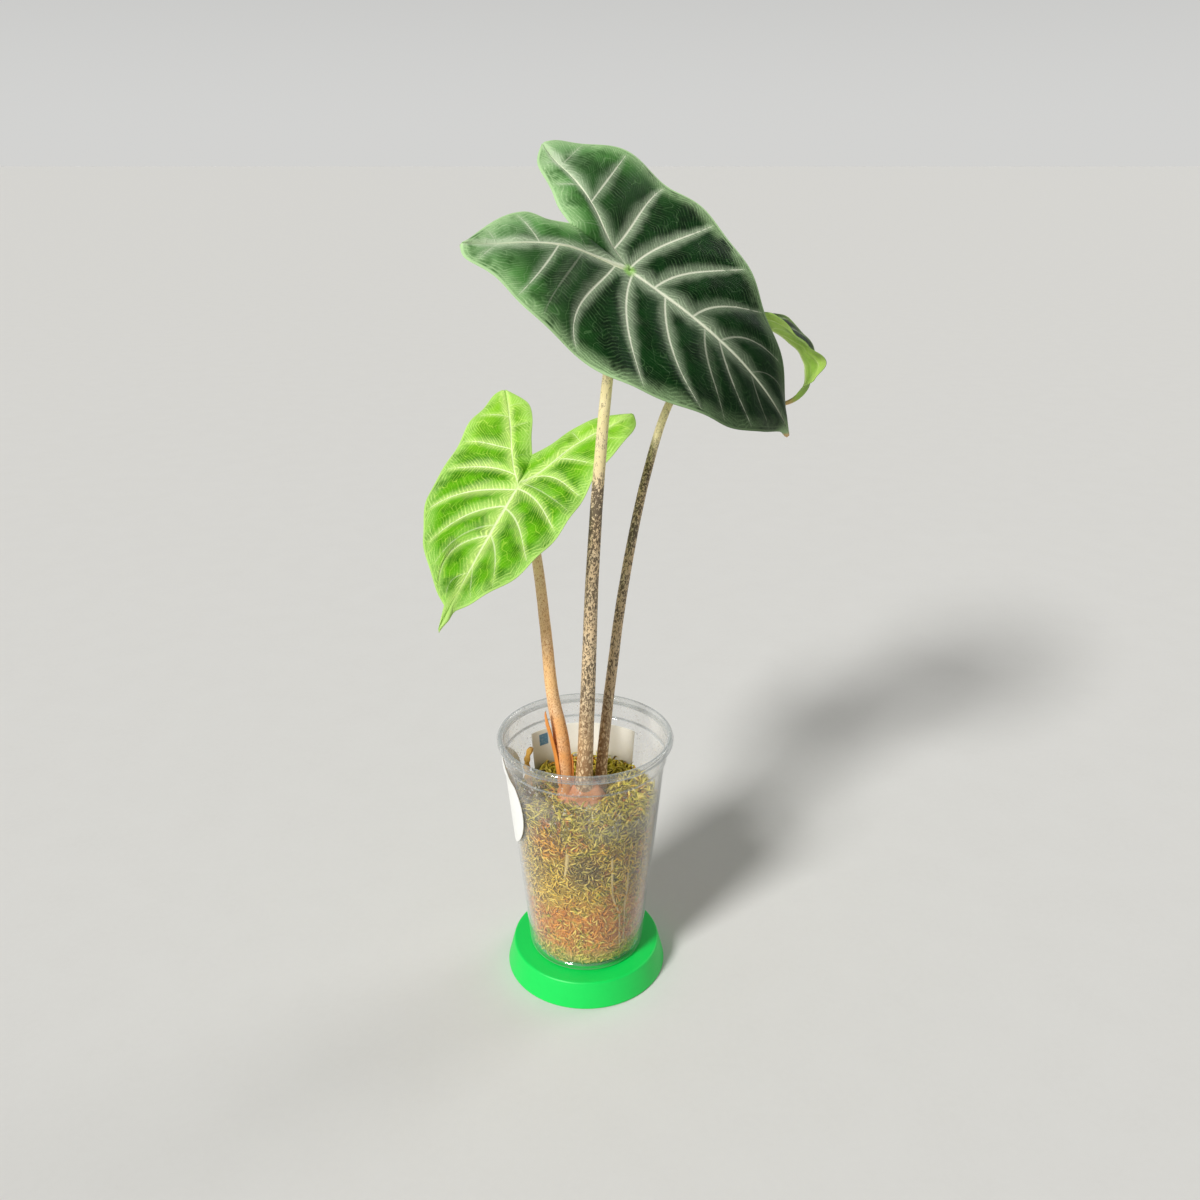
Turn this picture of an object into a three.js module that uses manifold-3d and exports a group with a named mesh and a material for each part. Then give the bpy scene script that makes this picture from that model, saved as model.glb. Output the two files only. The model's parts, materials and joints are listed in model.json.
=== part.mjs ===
// Potted ivory coast alocasia: three leaves on long petioles, growing from one crown in moss,
// in a clear drinking cup on a round green stand.
// Millimetres, +Z up, origin on the table under the middle of the stand. The plant's front is -Y.
import * as THREE from 'three';
import { mergeVertices } from 'three/addons/utils/BufferGeometryUtils.js';
import Module from 'manifold-3d';

const wasm = await Module();
wasm.setup();

// Driving dimensions
const seatGap = 0.3;              // clearance between pieces that touch
const roundSides = 48;            // facets round the stand, the cup and the moss

const standHeight = 15;
const standRadiusBottom = 45.4;
const standRadiusTop = 41.6;
const standEdge = 0.5;            // small bevel on the stand's two edges

const rimRadius = 47.5;           // the cup's rim, 95 mm across
const cupHeight = 133;
const cupWall = 0.8;
const cupRadiusBottom = 32.3;
const cupRadiusTop = 43.4;        // where the tapered wall meets the collar
const cupFootHeight = 2;          // the base is raised this far inside its foot ring
const collarHeight = 13;          // straight band under the rim
const collarStep = 0.9;           // how far the collar steps out
const lipHeight = 4.4;

const mossLevel = 111;            // mean height of the moss above the table
const mossLump = 2.2;             // relief of the moss's top
const mossSideLump = 0.9;         // relief of the moss's side, inwards from the wall
const mossStrands = 46;           // loose strands that stand up from the top
const crownCentre = [-2.5, 0.5];
const crownRadius = 12.5;
const crownHollow = 5;            // the moss dips this far round the crown
const crownTop = 118;
const crownBottom = 92;

const bladeThickness = 0.7;
const ribHeight = 1.1;            // midrib and basal veins stand out below the blade
const quiltDepth = 1.5;           // how far the panels between the side veins bulge up

const labelWidthAngle = 89;       // degrees of the cup's wall that the card covers
const labelMiddleAngle = 93;
const labelTop = 131.3;
const labelHeight = 34;
const labelThickness = 0.5;
const stickerRadius = 26;
const stickerHeight = 111;        // height of its centre above the table
const stickerAngle = 184;
const stickerThickness = 0.4;

const degree = Math.PI / 180;

// The three leaves. A blade lies on flat axes u, to its tip, and v, to its left and right, from the
// point where the petiole joins it, and is then arched along u and cupped across v.
const bigLeaf = {
  attach: [21.1, -6.0, 387.4],
  turn: { yaw: -4.6, pitch: 33, roll: 41.2 },
  arch: { start: 1.37e-3, growth: 4.85e-5, lobes: 2.15e-3 },
  cup: { plus: -0.17e-3, minus: 0.67e-3, twist: 1.28e-3 },
  lobeLift: { plus: 8.1, minus: 5.9, length: 66 },
  wave: { height: 1.0, count: 5, start: 0.4 },
  fold: null,
  sinus: [-33, 0],
  vein: [[0, 0], [-14, 5.5], [-30, 14.5], [-51, 29.5], [-66, 41]],
  innerPlus: [[-33, 0], [-42, 5], [-52, 16], [-62, 27.5], [-66, 41]],
  innerMinus: [[-33, 0], [-42, 3.6], [-53, 4.6], [-61, 17], [-66, 41]],
  outerPlus: [[-66, 41], [-60, 48.5], [-46, 52], [-26, 55.5], [-5, 58], [13, 57.5], [31, 52], [47, 44],
    [64, 32.5], [81, 22], [98, 11.5], [108, 4.4], [112, 1.6], [117, 0]],
  outerMinus: [[-66, 41], [-60, 47.5], [-45, 50], [-27, 56.5], [-5, 57], [14, 56.5], [30, 51.5], [47, 44.5],
    [64, 37], [82, 28], [97, 16], [108, 5], [112, 1.6], [117, 0]],
};

const youngLeaf = {
  attach: [-32.5, 8.0, 282.8],
  turn: { yaw: -119, pitch: 33.1, roll: -2.6 },
  arch: { start: 0.84e-3, growth: 0.88e-5, lobes: 0.28e-3 },
  cup: { plus: 0.72e-3, minus: 1.16e-3, twist: 0.55e-3 },
  lobeLift: { plus: 2.5, minus: 3.0, length: 58 },
  wave: { height: 0.9, count: 6, start: 1.7 },
  fold: null,
  sinus: [-20, -1.8],
  vein: [[0, 0], [-12, 9], [-31, 19.5], [-46, 29], [-59, 38]],
  innerPlus: [[-20, -1.8], [-29, 6], [-42, 12.5], [-53, 21], [-59, 38]],
  innerMinus: [[-20, 1.8], [-29, 6.4], [-43, 13], [-54, 22], [-59, 38]],
  outerPlus: [[-59, 38], [-52, 42], [-38, 43], [-20, 38.5], [-4, 37], [13, 36.5], [30, 33.5], [45, 28.5],
    [58, 20.5], [69, 10], [75, 3.4], [78, 2.6], [82, 2.6], [88, 0]],
  outerMinus: [[-59, 38], [-52, 42], [-36, 43], [-19, 43.5], [-3, 44], [13, 44.5], [28, 40.5], [44, 32.5],
    [57, 22], [69, 10.5], [75, 3.4], [78, 2.4], [82, 2], [88, 0]],
};

const backLeaf = {
  attach: [67.5, 62.5, 360.5],
  turn: { yaw: -15.6, pitch: -3.8, roll: -8.5 },
  arch: { start: 2.26e-3, growth: 35.5e-5, lobes: 1.92e-3 },
  cup: { plus: -0.6e-3, minus: -0.25e-3, twist: 1.02e-3 },
  lobeLift: { plus: 1.2, minus: 0.5, length: 49 },
  wave: { height: 0.7, count: 5, start: 2.4 },
  // Past the middle of the blade its keel drops and its halves rise by these slopes, so that the near
  // half shows its underside
  fold: {
    keel: [[10, 0], [30, -5], [44, -5], [56, -3], [64, -1.8], [74, 0], [88, 0]],
    near: [[12, 0], [34, 0.3], [46, 0.34], [54, 0.45], [62, 0.84], [68, 0.6], [74, 0.2], [88, 0]],
    far: [[12, 0], [34, 0.22], [48, 0.22], [56, 0.18], [64, 0], [88, 0]],
  },
  sinus: [-24, 0],
  vein: [[0, 0], [-11, 4.5], [-22, 11], [-38, 22], [-49, 30]],
  innerPlus: [[-24, 0], [-31, 4], [-38.5, 11], [-45, 20], [-49, 30]],
  innerMinus: [[-24, 0], [-31, 3.6], [-38.5, 10], [-45, 19], [-49, 30]],
  outerPlus: [[-49, 30], [-44, 36], [-34, 39], [-19, 41.5], [-4, 42.5], [10, 41.5], [23, 38], [35, 32.5],
    [47, 26], [60, 18], [71, 10.5], [78, 4], [82, 1.8], [88, 0]],
  outerMinus: [[-49, 30], [-44, 35.5], [-33, 38], [-19, 41], [-4, 42], [10, 41], [22, 37.5], [35, 32],
    [47, 26], [60, 19], [71, 11], [78, 4], [82, 1.8], [88, 0]],
};

// Side veins on one half of a blade, from the basal lobe's tip to the leaf's tip. The first number is
// where a vein starts: -1 to 0 along the basal vein, 0 to 1 along the midrib. The second is where it
// ends along the outer margin. The third is its bow, as a share of its length.
const sideVeins = [[-1, 0, 0], [-0.76, 0.09, 0], [-0.44, 0.205, 0], [-0.12, 0.34, 0.05], [0, 0.485, 0.1],
  [0.155, 0.62, 0.1], [0.33, 0.735, 0.1], [0.49, 0.845, 0.1], [1, 1, 0]];
// Veins on the lobe's inner side: where they start along the basal vein, and where they end along the
// inner margin. The second one runs to the sinus.
const lobeVeins = [[0, 0], [0.27, 0], [0.6, 0.5], [1, 1]];

// Petioles: the points their centre line passes, their radii at given heights, and the leaf they bear
const petiolePlans = {
  petiole_big: {
    leaf: bigLeaf, neck: 9,
    points: [[-1.2, -3, 111], [-0.6, -3, 122.7], [1.7, -3.5, 176], [4.4, -4.2, 245], [9, -5, 312],
      [12, -4.8, 342]],
    radii: [[111, 5.2], [119, 4.9], [135, 4.3], [165, 3.95], [245, 3.3], [340, 2.6], [400, 2.4]],
  },
  petiole_young: {
    leaf: youngLeaf, neck: 9,
    points: [[-10.8, -3.4, 111], [-10.8, -3, 122.7], [-13.2, -1.4, 147.8], [-17.2, 0.1, 171],
      [-20.5, 2.8, 210], [-24.2, 5.4, 245.2]],
    radii: [[111, 3.4], [120, 3.6], [131, 4.2], [142, 4.3], [155, 3.9], [170, 3.4], [210, 2.9], [300, 2.4]],
  },
  petiole_back: {
    leaf: backLeaf, neck: 7,
    points: [[8.3, 6.4, 111], [9.4, 7.6, 130], [14, 12, 175], [20.7, 21.3, 225.3], [32, 35.4, 279.8],
      [44.3, 46.9, 316.7]],
    radii: [[111, 3.5], [120, 3.2], [160, 2.9], [240, 2.5], [320, 2.1], [370, 1.9]],
  },
};

// Small number helpers
const clamp = (x, low, high) => Math.min(Math.max(x, low), high);
const mix = (a, b, t) => a + (b - a) * t;
const smooth = (x, low, high) => {
  const t = clamp((x - low) / (high - low), 0, 1);
  return t * t * (3 - 2 * t);
};

// Reads a value off a table of [place, value] pairs
function along(table, x) {
  for (let i = 1; i < table.length; i += 1) {
    if (x <= table[i][0]) {
      const t = (x - table[i - 1][0]) / (table[i][0] - table[i - 1][0]);
      return mix(table[i - 1][1], table[i][1], clamp(t, 0, 1));
    }
  }
  return table[table.length - 1][1];
}

// The same, eased so that it has no corners
function eased(table, x) {
  for (let i = 1; i < table.length; i += 1) {
    if (x <= table[i][0]) return mix(table[i - 1][1], table[i][1], smooth(x, table[i - 1][0], table[i][0]));
  }
  return table[table.length - 1][1];
}

// Repeatable draws for the loose strands
function seededDraw(seed) {
  let state = seed;
  return () => {
    state = (state * 1664525 + 1013904223) % 4294967296;
    return state / 4294967296;
  };
}

// Geometry from merged points and triangles
function geometryOf(points, triangles) {
  const geometry = new THREE.BufferGeometry();
  geometry.setAttribute('position', new THREE.Float32BufferAttribute(points.flat(), 3));
  geometry.setIndex(triangles.flat());
  return geometry;
}

// A solid of revolution about Z from a closed profile of [radius, height] that starts and ends on the axis
function turned(profile, sides = roundSides) {
  const lathe = new THREE.LatheGeometry(profile.map(([r, z]) => new THREE.Vector2(r, z)), sides);
  lathe.rotateX(Math.PI / 2);
  lathe.deleteAttribute('normal');
  lathe.deleteAttribute('uv');
  return mergeVertices(lathe, 1e-4);
}

// Closed body from a grid of rings, each a list of points round the axis, with an end point at each end
function ringBody(rings, first, last) {
  const count = rings[0].length;
  const points = [first, ...rings.flat(), last];
  const at = (i, j) => 1 + i * count + (j % count);
  const triangles = [];
  for (let j = 0; j < count; j += 1) {
    triangles.push([0, at(0, j + 1), at(0, j)]);
    triangles.push([points.length - 1, at(rings.length - 1, j), at(rings.length - 1, j + 1)]);
    for (let i = 0; i + 1 < rings.length; i += 1) {
      triangles.push([at(i, j), at(i, j + 1), at(i + 1, j + 1)]);
      triangles.push([at(i, j), at(i + 1, j + 1), at(i + 1, j)]);
    }
  }
  return geometryOf(points, triangles);
}

// Tapered round stem along a curve, closed at both ends
function stem(curve, radiusAt, steps, sides) {
  const frames = curve.computeFrenetFrames(steps, false);
  const rings = [];
  for (let i = 0; i <= steps; i += 1) {
    const centre = curve.getPointAt(i / steps);
    const radius = radiusAt(i / steps, centre);
    const ring = [];
    for (let j = 0; j < sides; j += 1) {
      const angle = (2 * Math.PI * j) / sides;
      const point = centre.clone();
      point.addScaledVector(frames.normals[i], radius * Math.cos(angle));
      point.addScaledVector(frames.binormals[i], radius * Math.sin(angle));
      ring.push(point.toArray());
    }
    rings.push(ring);
  }
  return ringBody(rings, curve.getPointAt(0).toArray(), curve.getPointAt(1).toArray());
}

const curveThrough = (points) => new THREE.CatmullRomCurve3(points.map((p) => new THREE.Vector3(...p)));

// Solid for joining and cutting, and back
function solidOf(geometry) {
  const merged = mergeVertices(geometry, 1e-4);
  return new wasm.Manifold(new wasm.Mesh({
    numProp: 3,
    vertProperties: new Float32Array(merged.attributes.position.array),
    triVerts: new Uint32Array(merged.index.array),
  }));
}

function geometryFrom(solid) {
  const mesh = solid.getMesh();
  const geometry = new THREE.BufferGeometry();
  geometry.setAttribute('position', new THREE.BufferAttribute(new Float32Array(mesh.vertProperties), 3));
  geometry.setIndex(new THREE.BufferAttribute(new Uint32Array(mesh.triVerts), 1));
  return geometry;
}

// Closed sheet: merged flat points, and a rule that gives the upper and the lower face's place of each
class Sheet {
  constructor() {
    this.keys = new Map();
    this.flat = [];
    this.triangles = [];
  }

  point(u, v, extra = {}) {
    const key = `${Math.round(u * 500)},${Math.round(v * 500)}`;
    if (!this.keys.has(key)) {
      this.keys.set(key, this.flat.length);
      this.flat.push({ u, v, ...extra });
    }
    return this.keys.get(key);
  }

  triangle(a, b, c) {
    if (a !== b && b !== c && a !== c) this.triangles.push([a, b, c]);
  }

  // Four corners in turn, counter-clockwise seen from the upper face
  quad(a, b, c, d) {
    this.triangle(a, b, c);
    this.triangle(a, c, d);
  }

  // Rows of points, each row the next step to the right
  grid(rows) {
    for (let i = 0; i + 1 < rows.length; i += 1) {
      for (let j = 0; j + 1 < rows[i].length; j += 1) {
        this.quad(rows[i][j], rows[i + 1][j], rows[i + 1][j + 1], rows[i][j + 1]);
      }
    }
  }

  solid(upper, lower) {
    const count = this.flat.length;
    const points = [...this.flat.map(upper), ...this.flat.map(lower)];
    const triangles = [];
    const edges = new Map();
    for (const [a, b, c] of this.triangles) {
      triangles.push([a, b, c]);
      triangles.push([a + count, c + count, b + count]);
      for (const [p, q] of [[a, b], [b, c], [c, a]]) {
        if (!edges.delete(`${q},${p}`)) edges.set(`${p},${q}`, [p, q]);
      }
    }
    for (const [p, q] of edges.values()) {
      triangles.push([p, p + count, q + count]);
      triangles.push([p, q + count, q]);
    }
    return geometryOf(points, triangles);
  }
}

// Stand: a plain round disc with a sloping side
function standGeometry() {
  return turned([
    [0, 0], [standRadiusBottom - standEdge, 0], [standRadiusBottom, standEdge],
    [standRadiusTop, standHeight - standEdge], [standRadiusTop - standEdge, standHeight], [0, standHeight],
  ]);
}

// Cup: heights of its features above the table, and its outer and inner radius at a height
const cupBottom = standHeight + seatGap;
const cupTop = cupBottom + cupHeight;
const cupFloor = cupBottom + cupFootHeight + cupWall;
const collarTop = cupTop - lipHeight;
const collarBottom = collarTop - collarHeight + lipHeight;
const collarRadius = cupRadiusTop + collarStep;
const cupOuterTable = [[cupBottom + cupFootHeight, cupRadiusBottom], [collarBottom - 1, cupRadiusTop],
  [collarBottom, collarRadius], [collarTop, collarRadius + 0.5]];
const cupOuter = (z) => along(cupOuterTable, z);
const cupInner = (z) => cupOuter(z) - cupWall;

function cupGeometry() {
  const foot = cupRadiusBottom - 1;
  const rimInner = collarRadius + 0.5 - cupWall;
  return turned([
    [0, cupBottom + cupFootHeight], [foot - 3.5, cupBottom + cupFootHeight], [foot - 2, cupBottom],
    [foot, cupBottom], [cupRadiusBottom - 0.2, cupBottom + 0.8],
    [cupRadiusBottom, cupBottom + cupFootHeight],
    [cupRadiusTop, collarBottom - 1], [collarRadius, collarBottom], [collarRadius + 0.5, collarTop],
    [rimRadius - 0.5, collarTop], [rimRadius, collarTop + 1], [rimRadius, cupTop - 1.6],
    [rimRadius - 0.9, cupTop - 0.3], [rimRadius - 2.1, cupTop], [rimInner, cupTop - 1.4],
    [rimInner, collarTop],
    [collarRadius - cupWall, collarBottom], [cupRadiusTop - cupWall, collarBottom - 1],
    [cupRadiusBottom - cupWall, cupFloor + 1], [cupRadiusBottom - cupWall - 0.8, cupFloor], [0, cupFloor],
  ]);
}

// Blade: its three axes, its arch along u, and a point of its middle surface
function leafAxes({ turn }) {
  const yaw = turn.yaw * degree;
  const pitch = turn.pitch * degree;
  const roll = turn.roll * degree;
  const heading = new THREE.Vector3(Math.cos(yaw), Math.sin(yaw), 0);
  const ahead = heading.clone().multiplyScalar(Math.cos(pitch)).setZ(-Math.sin(pitch));
  const level = new THREE.Vector3(-heading.y, heading.x, 0);
  const above = new THREE.Vector3().crossVectors(ahead, level);
  const side = level.multiplyScalar(Math.cos(roll)).addScaledVector(above, Math.sin(roll));
  return { ahead, side, face: new THREE.Vector3().crossVectors(ahead, side) };
}

const archTurn = ({ arch }, u) => (u > 0 ? -(arch.start * u + arch.growth * u * u) : -arch.lobes * u);

// Where the midrib's arch has come to after u millimetres: distance ahead, height, and angle
function archPlace(leaf, u, steps = 40) {
  let ahead = 0;
  let height = 0;
  for (let i = 0; i < steps; i += 1) {
    const turn = archTurn(leaf, (u * (i + 0.5)) / steps);
    ahead += (Math.cos(turn) * u) / steps;
    height += (Math.sin(turn) * u) / steps;
  }
  return { ahead, height, turn: archTurn(leaf, u) };
}

function foldRise(fold, u, v) {
  const away = Math.sqrt(v * v + 9) - 3;
  return eased(fold.keel, u) + away * eased(v > 0 ? fold.far : fold.near, u);
}

// Height of the cupped surface over the arch at a flat place
function cupRise({ cup, lobeLift, fold }, u, v) {
  const bend = (v > 0 ? cup.plus : cup.minus) * v * v + cup.twist * u * v;
  const lobe = Math.sin(Math.PI * clamp(-u / lobeLift.length, 0, 1)) ** 2;
  const lift = lobe * (lobeLift.plus * smooth(v, -8, 12) + lobeLift.minus * smooth(-v, -8, 12));
  return bend + lift + (fold ? foldRise(fold, u, v) : 0);
}

function surfaceOf(leaf) {
  const { ahead, side, face } = leafAxes(leaf);
  const origin = new THREE.Vector3(...leaf.attach);
  const place = (u, v, rise) => {
    const arch = archPlace(leaf, u);
    const height = cupRise(leaf, u, v) + rise;
    const point = origin.clone();
    point.addScaledVector(ahead, arch.ahead - Math.sin(arch.turn) * height);
    point.addScaledVector(side, v);
    point.addScaledVector(face, arch.height + Math.cos(arch.turn) * height);
    return point;
  };
  const normal = (u, v) => {
    const step = 0.2;
    const du = place(u + step, v, 0).sub(place(u - step, v, 0));
    const dv = place(u, v + step, 0).sub(place(u, v - step, 0));
    return du.cross(dv).normalize();
  };
  return { place, normal };
}

const planeCurve = (points) => new THREE.SplineCurve(points.map(([u, w]) => new THREE.Vector2(u, w)));

// Where a row that starts at a given place lies in a table of veins: its number, counted in veins,
// and the table's other values there
function rowAt(table, start) {
  const k = Math.max(1, table.findIndex((line) => start <= line[0] + 1e-9));
  const t = (start - table[k - 1][0]) / (table[k][0] - table[k - 1][0]);
  return { fan: k - 1 + t, values: table[k].map((value, n) => mix(table[k - 1][n], value, t)).slice(1) };
}

// Starts of the rows along the spine: each vein's own start, with a few steps between them
function rowStarts() {
  const lobeStops = lobeVeins.slice(1, -1).map(([s]) => -s);
  const stops = [...sideVeins.map(([s]) => s), ...lobeStops].sort((a, b) => a - b);
  const starts = [];
  for (let k = 0; k + 1 < stops.length; k += 1) {
    const steps = stops[k] < 0 ? 2 : Math.round((stops[k + 1] - stops[k]) / 0.08) + 1;
    for (let i = 0; i < steps; i += 1) starts.push(mix(stops[k], stops[k + 1], i / steps));
  }
  return [...starts, 1];
}

// One half of a blade as two fans of rows. The outer fan's rows run from the basal vein and the midrib to
// the outer margin, along the side veins. The inner fan's run from the basal vein to the line from
// the petiole to the sinus, and then to the lobe's inner margin.
const columns = [0, 0.05, 0.2, 0.42, 0.64, 0.84, 0.95, 1];

function addHalf(sheet, leaf, sign) {
  const vein = planeCurve(leaf.vein);
  const inner = planeCurve(sign > 0 ? leaf.innerPlus : leaf.innerMinus);
  const outer = planeCurve(sign > 0 ? leaf.outerPlus : leaf.outerMinus);
  const tip = outer.points[outer.points.length - 1].x;
  const spine = (s) => (s < 0 ? vein.getPointAt(-s) : new THREE.Vector2(s * tip, 0));

  const row = (start, end, bow, fan, waveAt, waveShare) => columns.map((t) => {
    const chord = end.clone().sub(start);
    const point = start.clone().addScaledVector(chord, t);
    point.x -= chord.y * bow * 4 * t * (1 - t);
    point.y += chord.x * bow * 4 * t * (1 - t);
    const panel = Math.abs(Math.sin(Math.PI * fan)) * Math.sin(Math.PI * t ** 0.8) ** 0.7;
    const phase = 2 * Math.PI * leaf.wave.count * waveAt + leaf.wave.start + sign;
    const wave = smooth(t, 0.55, 1) * Math.sin(phase);
    const rise = quiltDepth * panel + leaf.wave.height * waveShare * wave;
    return sheet.point(point.x, sign * point.y, { rise, rib: t === 0 ? 1 : 0 });
  });

  const addRows = (rows) => sheet.grid(sign > 0 ? rows : rows.reverse());

  const starts = rowStarts();
  addRows(starts.map((s) => {
    const { fan, values: [edge, bow] } = rowAt(sideVeins, s);
    return row(spine(s), outer.getPointAt(edge), bow, fan, edge, 1);
  }));
  addRows(starts.filter((s) => s <= 0).reverse().map((s) => {
    const { fan, values: [edge] } = rowAt(lobeVeins, -s);
    const centreLine = new THREE.Vector2(leaf.sinus[0] * fan, sign * leaf.sinus[1] * fan);
    return row(spine(s), fan <= 1 ? centreLine : inner.getPointAt(edge), 0, fan, 0, smooth(fan, 1, 2));
  }));
}

function bladeGeometry(leaf) {
  const sheet = new Sheet();
  addHalf(sheet, leaf, 1);
  addHalf(sheet, leaf, -1);
  const surface = surfaceOf(leaf);
  const offset = (spot, distance) => {
    const point = surface.place(spot.u, spot.v, spot.rise);
    return point.addScaledVector(surface.normal(spot.u, spot.v), distance).toArray();
  };
  const rib = (spot) => spot.rib * ribHeight * mix(1, 0.25, clamp(Math.hypot(spot.u, spot.v) / 110, 0, 1));
  return sheet.solid(
    (spot) => offset(spot, bladeThickness / 2),
    (spot) => offset(spot, -bladeThickness / 2 - rib(spot)),
  );
}

// Petiole: from the crown up to the blade's underside, which it meets square on
function petioleCurve({ points, leaf, neck }) {
  const { normal, place } = surfaceOf(leaf);
  const face = normal(0, 0);
  const under = (distance) => place(0, 0, 0).addScaledVector(face, -distance).toArray();
  const seat = bladeThickness / 2 + ribHeight + seatGap;
  return curveThrough([...points, under(seat + neck), under(seat)]);
}

function petioleGeometry(plan, grow = 0) {
  return stem(petioleCurve(plan), (t, centre) => along(plan.radii, centre.z) + grow, 28, 9);
}

// Sheath: a papery half tube behind the young petiole's foot, open to the front, with a tall left point
const sheathBottom = 118.4;
const sheathThickness = 0.6;
function sheathGeometry() {
  const plan = petiolePlans.petiole_young;
  const curve = petioleCurve(plan);
  const sheet = new Sheet();
  const columns = 10;
  const rows = 8;
  const grid = [];
  for (let j = 0; j <= columns; j += 1) {
    const turn = mix(-15, 195, j / columns);
    const height = along([[0, 17], [0.3, 11], [0.65, 15], [0.88, 34], [1, 44]], j / columns);
    grid.push([]);
    for (let i = 0; i <= rows; i += 1) {
      grid[j].push(sheet.point(turn, (i * height) / rows, { share: j / columns }));
    }
  }
  sheet.grid(grid);
  const spot = (distance) => ({ u, v, share }) => {
    const z = sheathBottom + v;
    const centre = pointAtHeight(curve, z);
    const away = 2.2 * smooth(v, 18, 44) * share;
    const radius = along(plan.radii, z) + seatGap + distance + away;
    return [centre.x + radius * Math.cos(u * degree), centre.y + radius * Math.sin(u * degree), z];
  };
  return sheet.solid(spot(sheathThickness), spot(0));
}

// The curve's point at a height, found by halving
function pointAtHeight(curve, z) {
  let low = 0;
  let high = 1;
  for (let i = 0; i < 30; i += 1) {
    const middle = (low + high) / 2;
    if (curve.getPoint(middle).z < z) low = middle;
    else high = middle;
  }
  return curve.getPoint(low);
}

// A patch that follows the cup's wall: angles and heights come from a flat sheet
function wallPatch(sheet, radiusAt, thickness) {
  const spot = (radius) => ({ u, v }) => {
    const r = radiusAt(v) + radius;
    return [r * Math.cos(u * degree), r * Math.sin(u * degree), v];
  };
  return sheet.solid(spot(thickness), spot(0));
}

// Label card: white card curled against the inside of the back wall, its foot in the moss
function labelGeometry(grow = 0) {
  const sheet = new Sheet();
  const columns = 18;
  const heights = [0, 0.33, 0.66, 1];
  const growAngle = (grow / cupRadiusTop) / degree;
  const span = labelWidthAngle + 2 * growAngle;
  const grid = [];
  for (let j = 0; j <= columns; j += 1) {
    const turn = labelMiddleAngle + span * (j / columns - 0.5);
    const height = labelHeight + 2 * grow;
    grid.push(heights.map((t) => sheet.point(turn, labelTop + grow - height * (1 - t))));
  }
  sheet.grid(grid);
  const radiusAt = (z) => cupInner(z) - seatGap - labelThickness - grow;
  return wallPatch(sheet, radiusAt, labelThickness + 2 * grow);
}

// Side sticker: a plain round one on the outside of the wall, which bridges the collar's step
function stickerGeometry() {
  const sheet = new Sheet();
  const sides = 32;
  const rings = [0.3, 0.6, 0.85, 1];
  const circle = (share, j) => {
    const angle = (2 * Math.PI * j) / sides;
    const z = stickerHeight + stickerRadius * share * Math.sin(angle);
    const turn = stickerAngle + (stickerRadius * share * Math.cos(angle)) / cupRadiusTop / degree;
    return sheet.point(turn, z);
  };
  const centre = sheet.point(stickerAngle, stickerHeight);
  for (let j = 0; j < sides; j += 1) {
    sheet.triangle(centre, circle(rings[0], j), circle(rings[0], (j + 1) % sides));
    for (let i = 0; i + 1 < rings.length; i += 1) {
      sheet.quad(circle(rings[i], j), circle(rings[i + 1], j), circle(rings[i + 1], (j + 1) % sides),
        circle(rings[i], (j + 1) % sides));
    }
  }
  const bridged = (z) => cupOuter(z) + seatGap + collarStep * smooth(z, collarBottom - 9, collarBottom - 4)
    * (1 - smooth(z, collarBottom - 1, collarBottom));
  return wallPatch(sheet, bridged, stickerThickness);
}

// Dried stalk: a short bent straw that stands in the moss on the left
const stalkPoints = [[-29.5, -4, 106], [-30.5, -5, 120], [-31.5, -6, 130], [-30.3, -6.5, 138],
  [-28.6, -6, 142]];
const stalkRadius = 1.3;
function stalkGeometry(grow = 0) {
  return stem(curveThrough(stalkPoints), (t) => stalkRadius * mix(1, 0.7, t) + grow, 12, 7);
}

// Crown: the plant's short swollen stem, which the petioles stand in
function crownGeometry(grow = 0) {
  const shape = [[crownBottom, 0.62], [crownBottom + 5, 0.86], [104, 1], [109, 0.97], [113, 0.86],
    [116, 0.7], [crownTop, 0.5]];
  const sides = 20;
  const rings = shape.map(([z, share], i) => {
    const ring = [];
    for (let j = 0; j < sides; j += 1) {
      const angle = (2 * Math.PI * j) / sides;
      const lump = 1 + 0.06 * Math.sin(3 * angle + i) + 0.04 * Math.sin(5 * angle - 2 * i);
      const radius = crownRadius * share * lump + grow;
      const [x, y] = [1.08 * radius * Math.cos(angle), 0.9 * radius * Math.sin(angle)];
      ring.push([crownCentre[0] + x, crownCentre[1] + y, z]);
    }
    return ring;
  });
  rings[0].forEach((point) => { point[2] -= grow; });
  rings[rings.length - 1].forEach((point) => { point[2] += grow; });
  const middle = (z) => [crownCentre[0], crownCentre[1], z];
  return ringBody(rings, middle(crownBottom - grow), middle(crownTop + grow));
}

// Moss: fills the cup, lumpy on top, with plain holes for what stands in it
function mossTop(x, y) {
  const lumps = Math.sin(x * 0.33 + 1.2) * Math.cos(y * 0.29) + 0.7 * Math.sin(x * 0.61 - y * 0.47 + 2)
    + 0.5 * Math.cos(x * 0.9 + y * 0.8);
  const frontLeft = 4 * smooth(-0.55 * x - 0.8 * y, 12, 40);
  const fromCrown = Math.hypot(x - crownCentre[0], y - crownCentre[1]) / crownRadius;
  return mossLevel + mossLump * 0.6 * lumps + frontLeft - crownHollow * Math.exp(-((fromCrown / 1.6) ** 2));
}

function mossSide(angle, z) {
  const waves = [Math.sin(7 * angle + z * 0.21), Math.sin(11 * angle - z * 0.34 + 1),
    Math.sin(4 * angle + z * 0.5)];
  return mossSideLump * (0.5 + (waves[0] + waves[1] + waves[2]) / 6);
}

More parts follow.
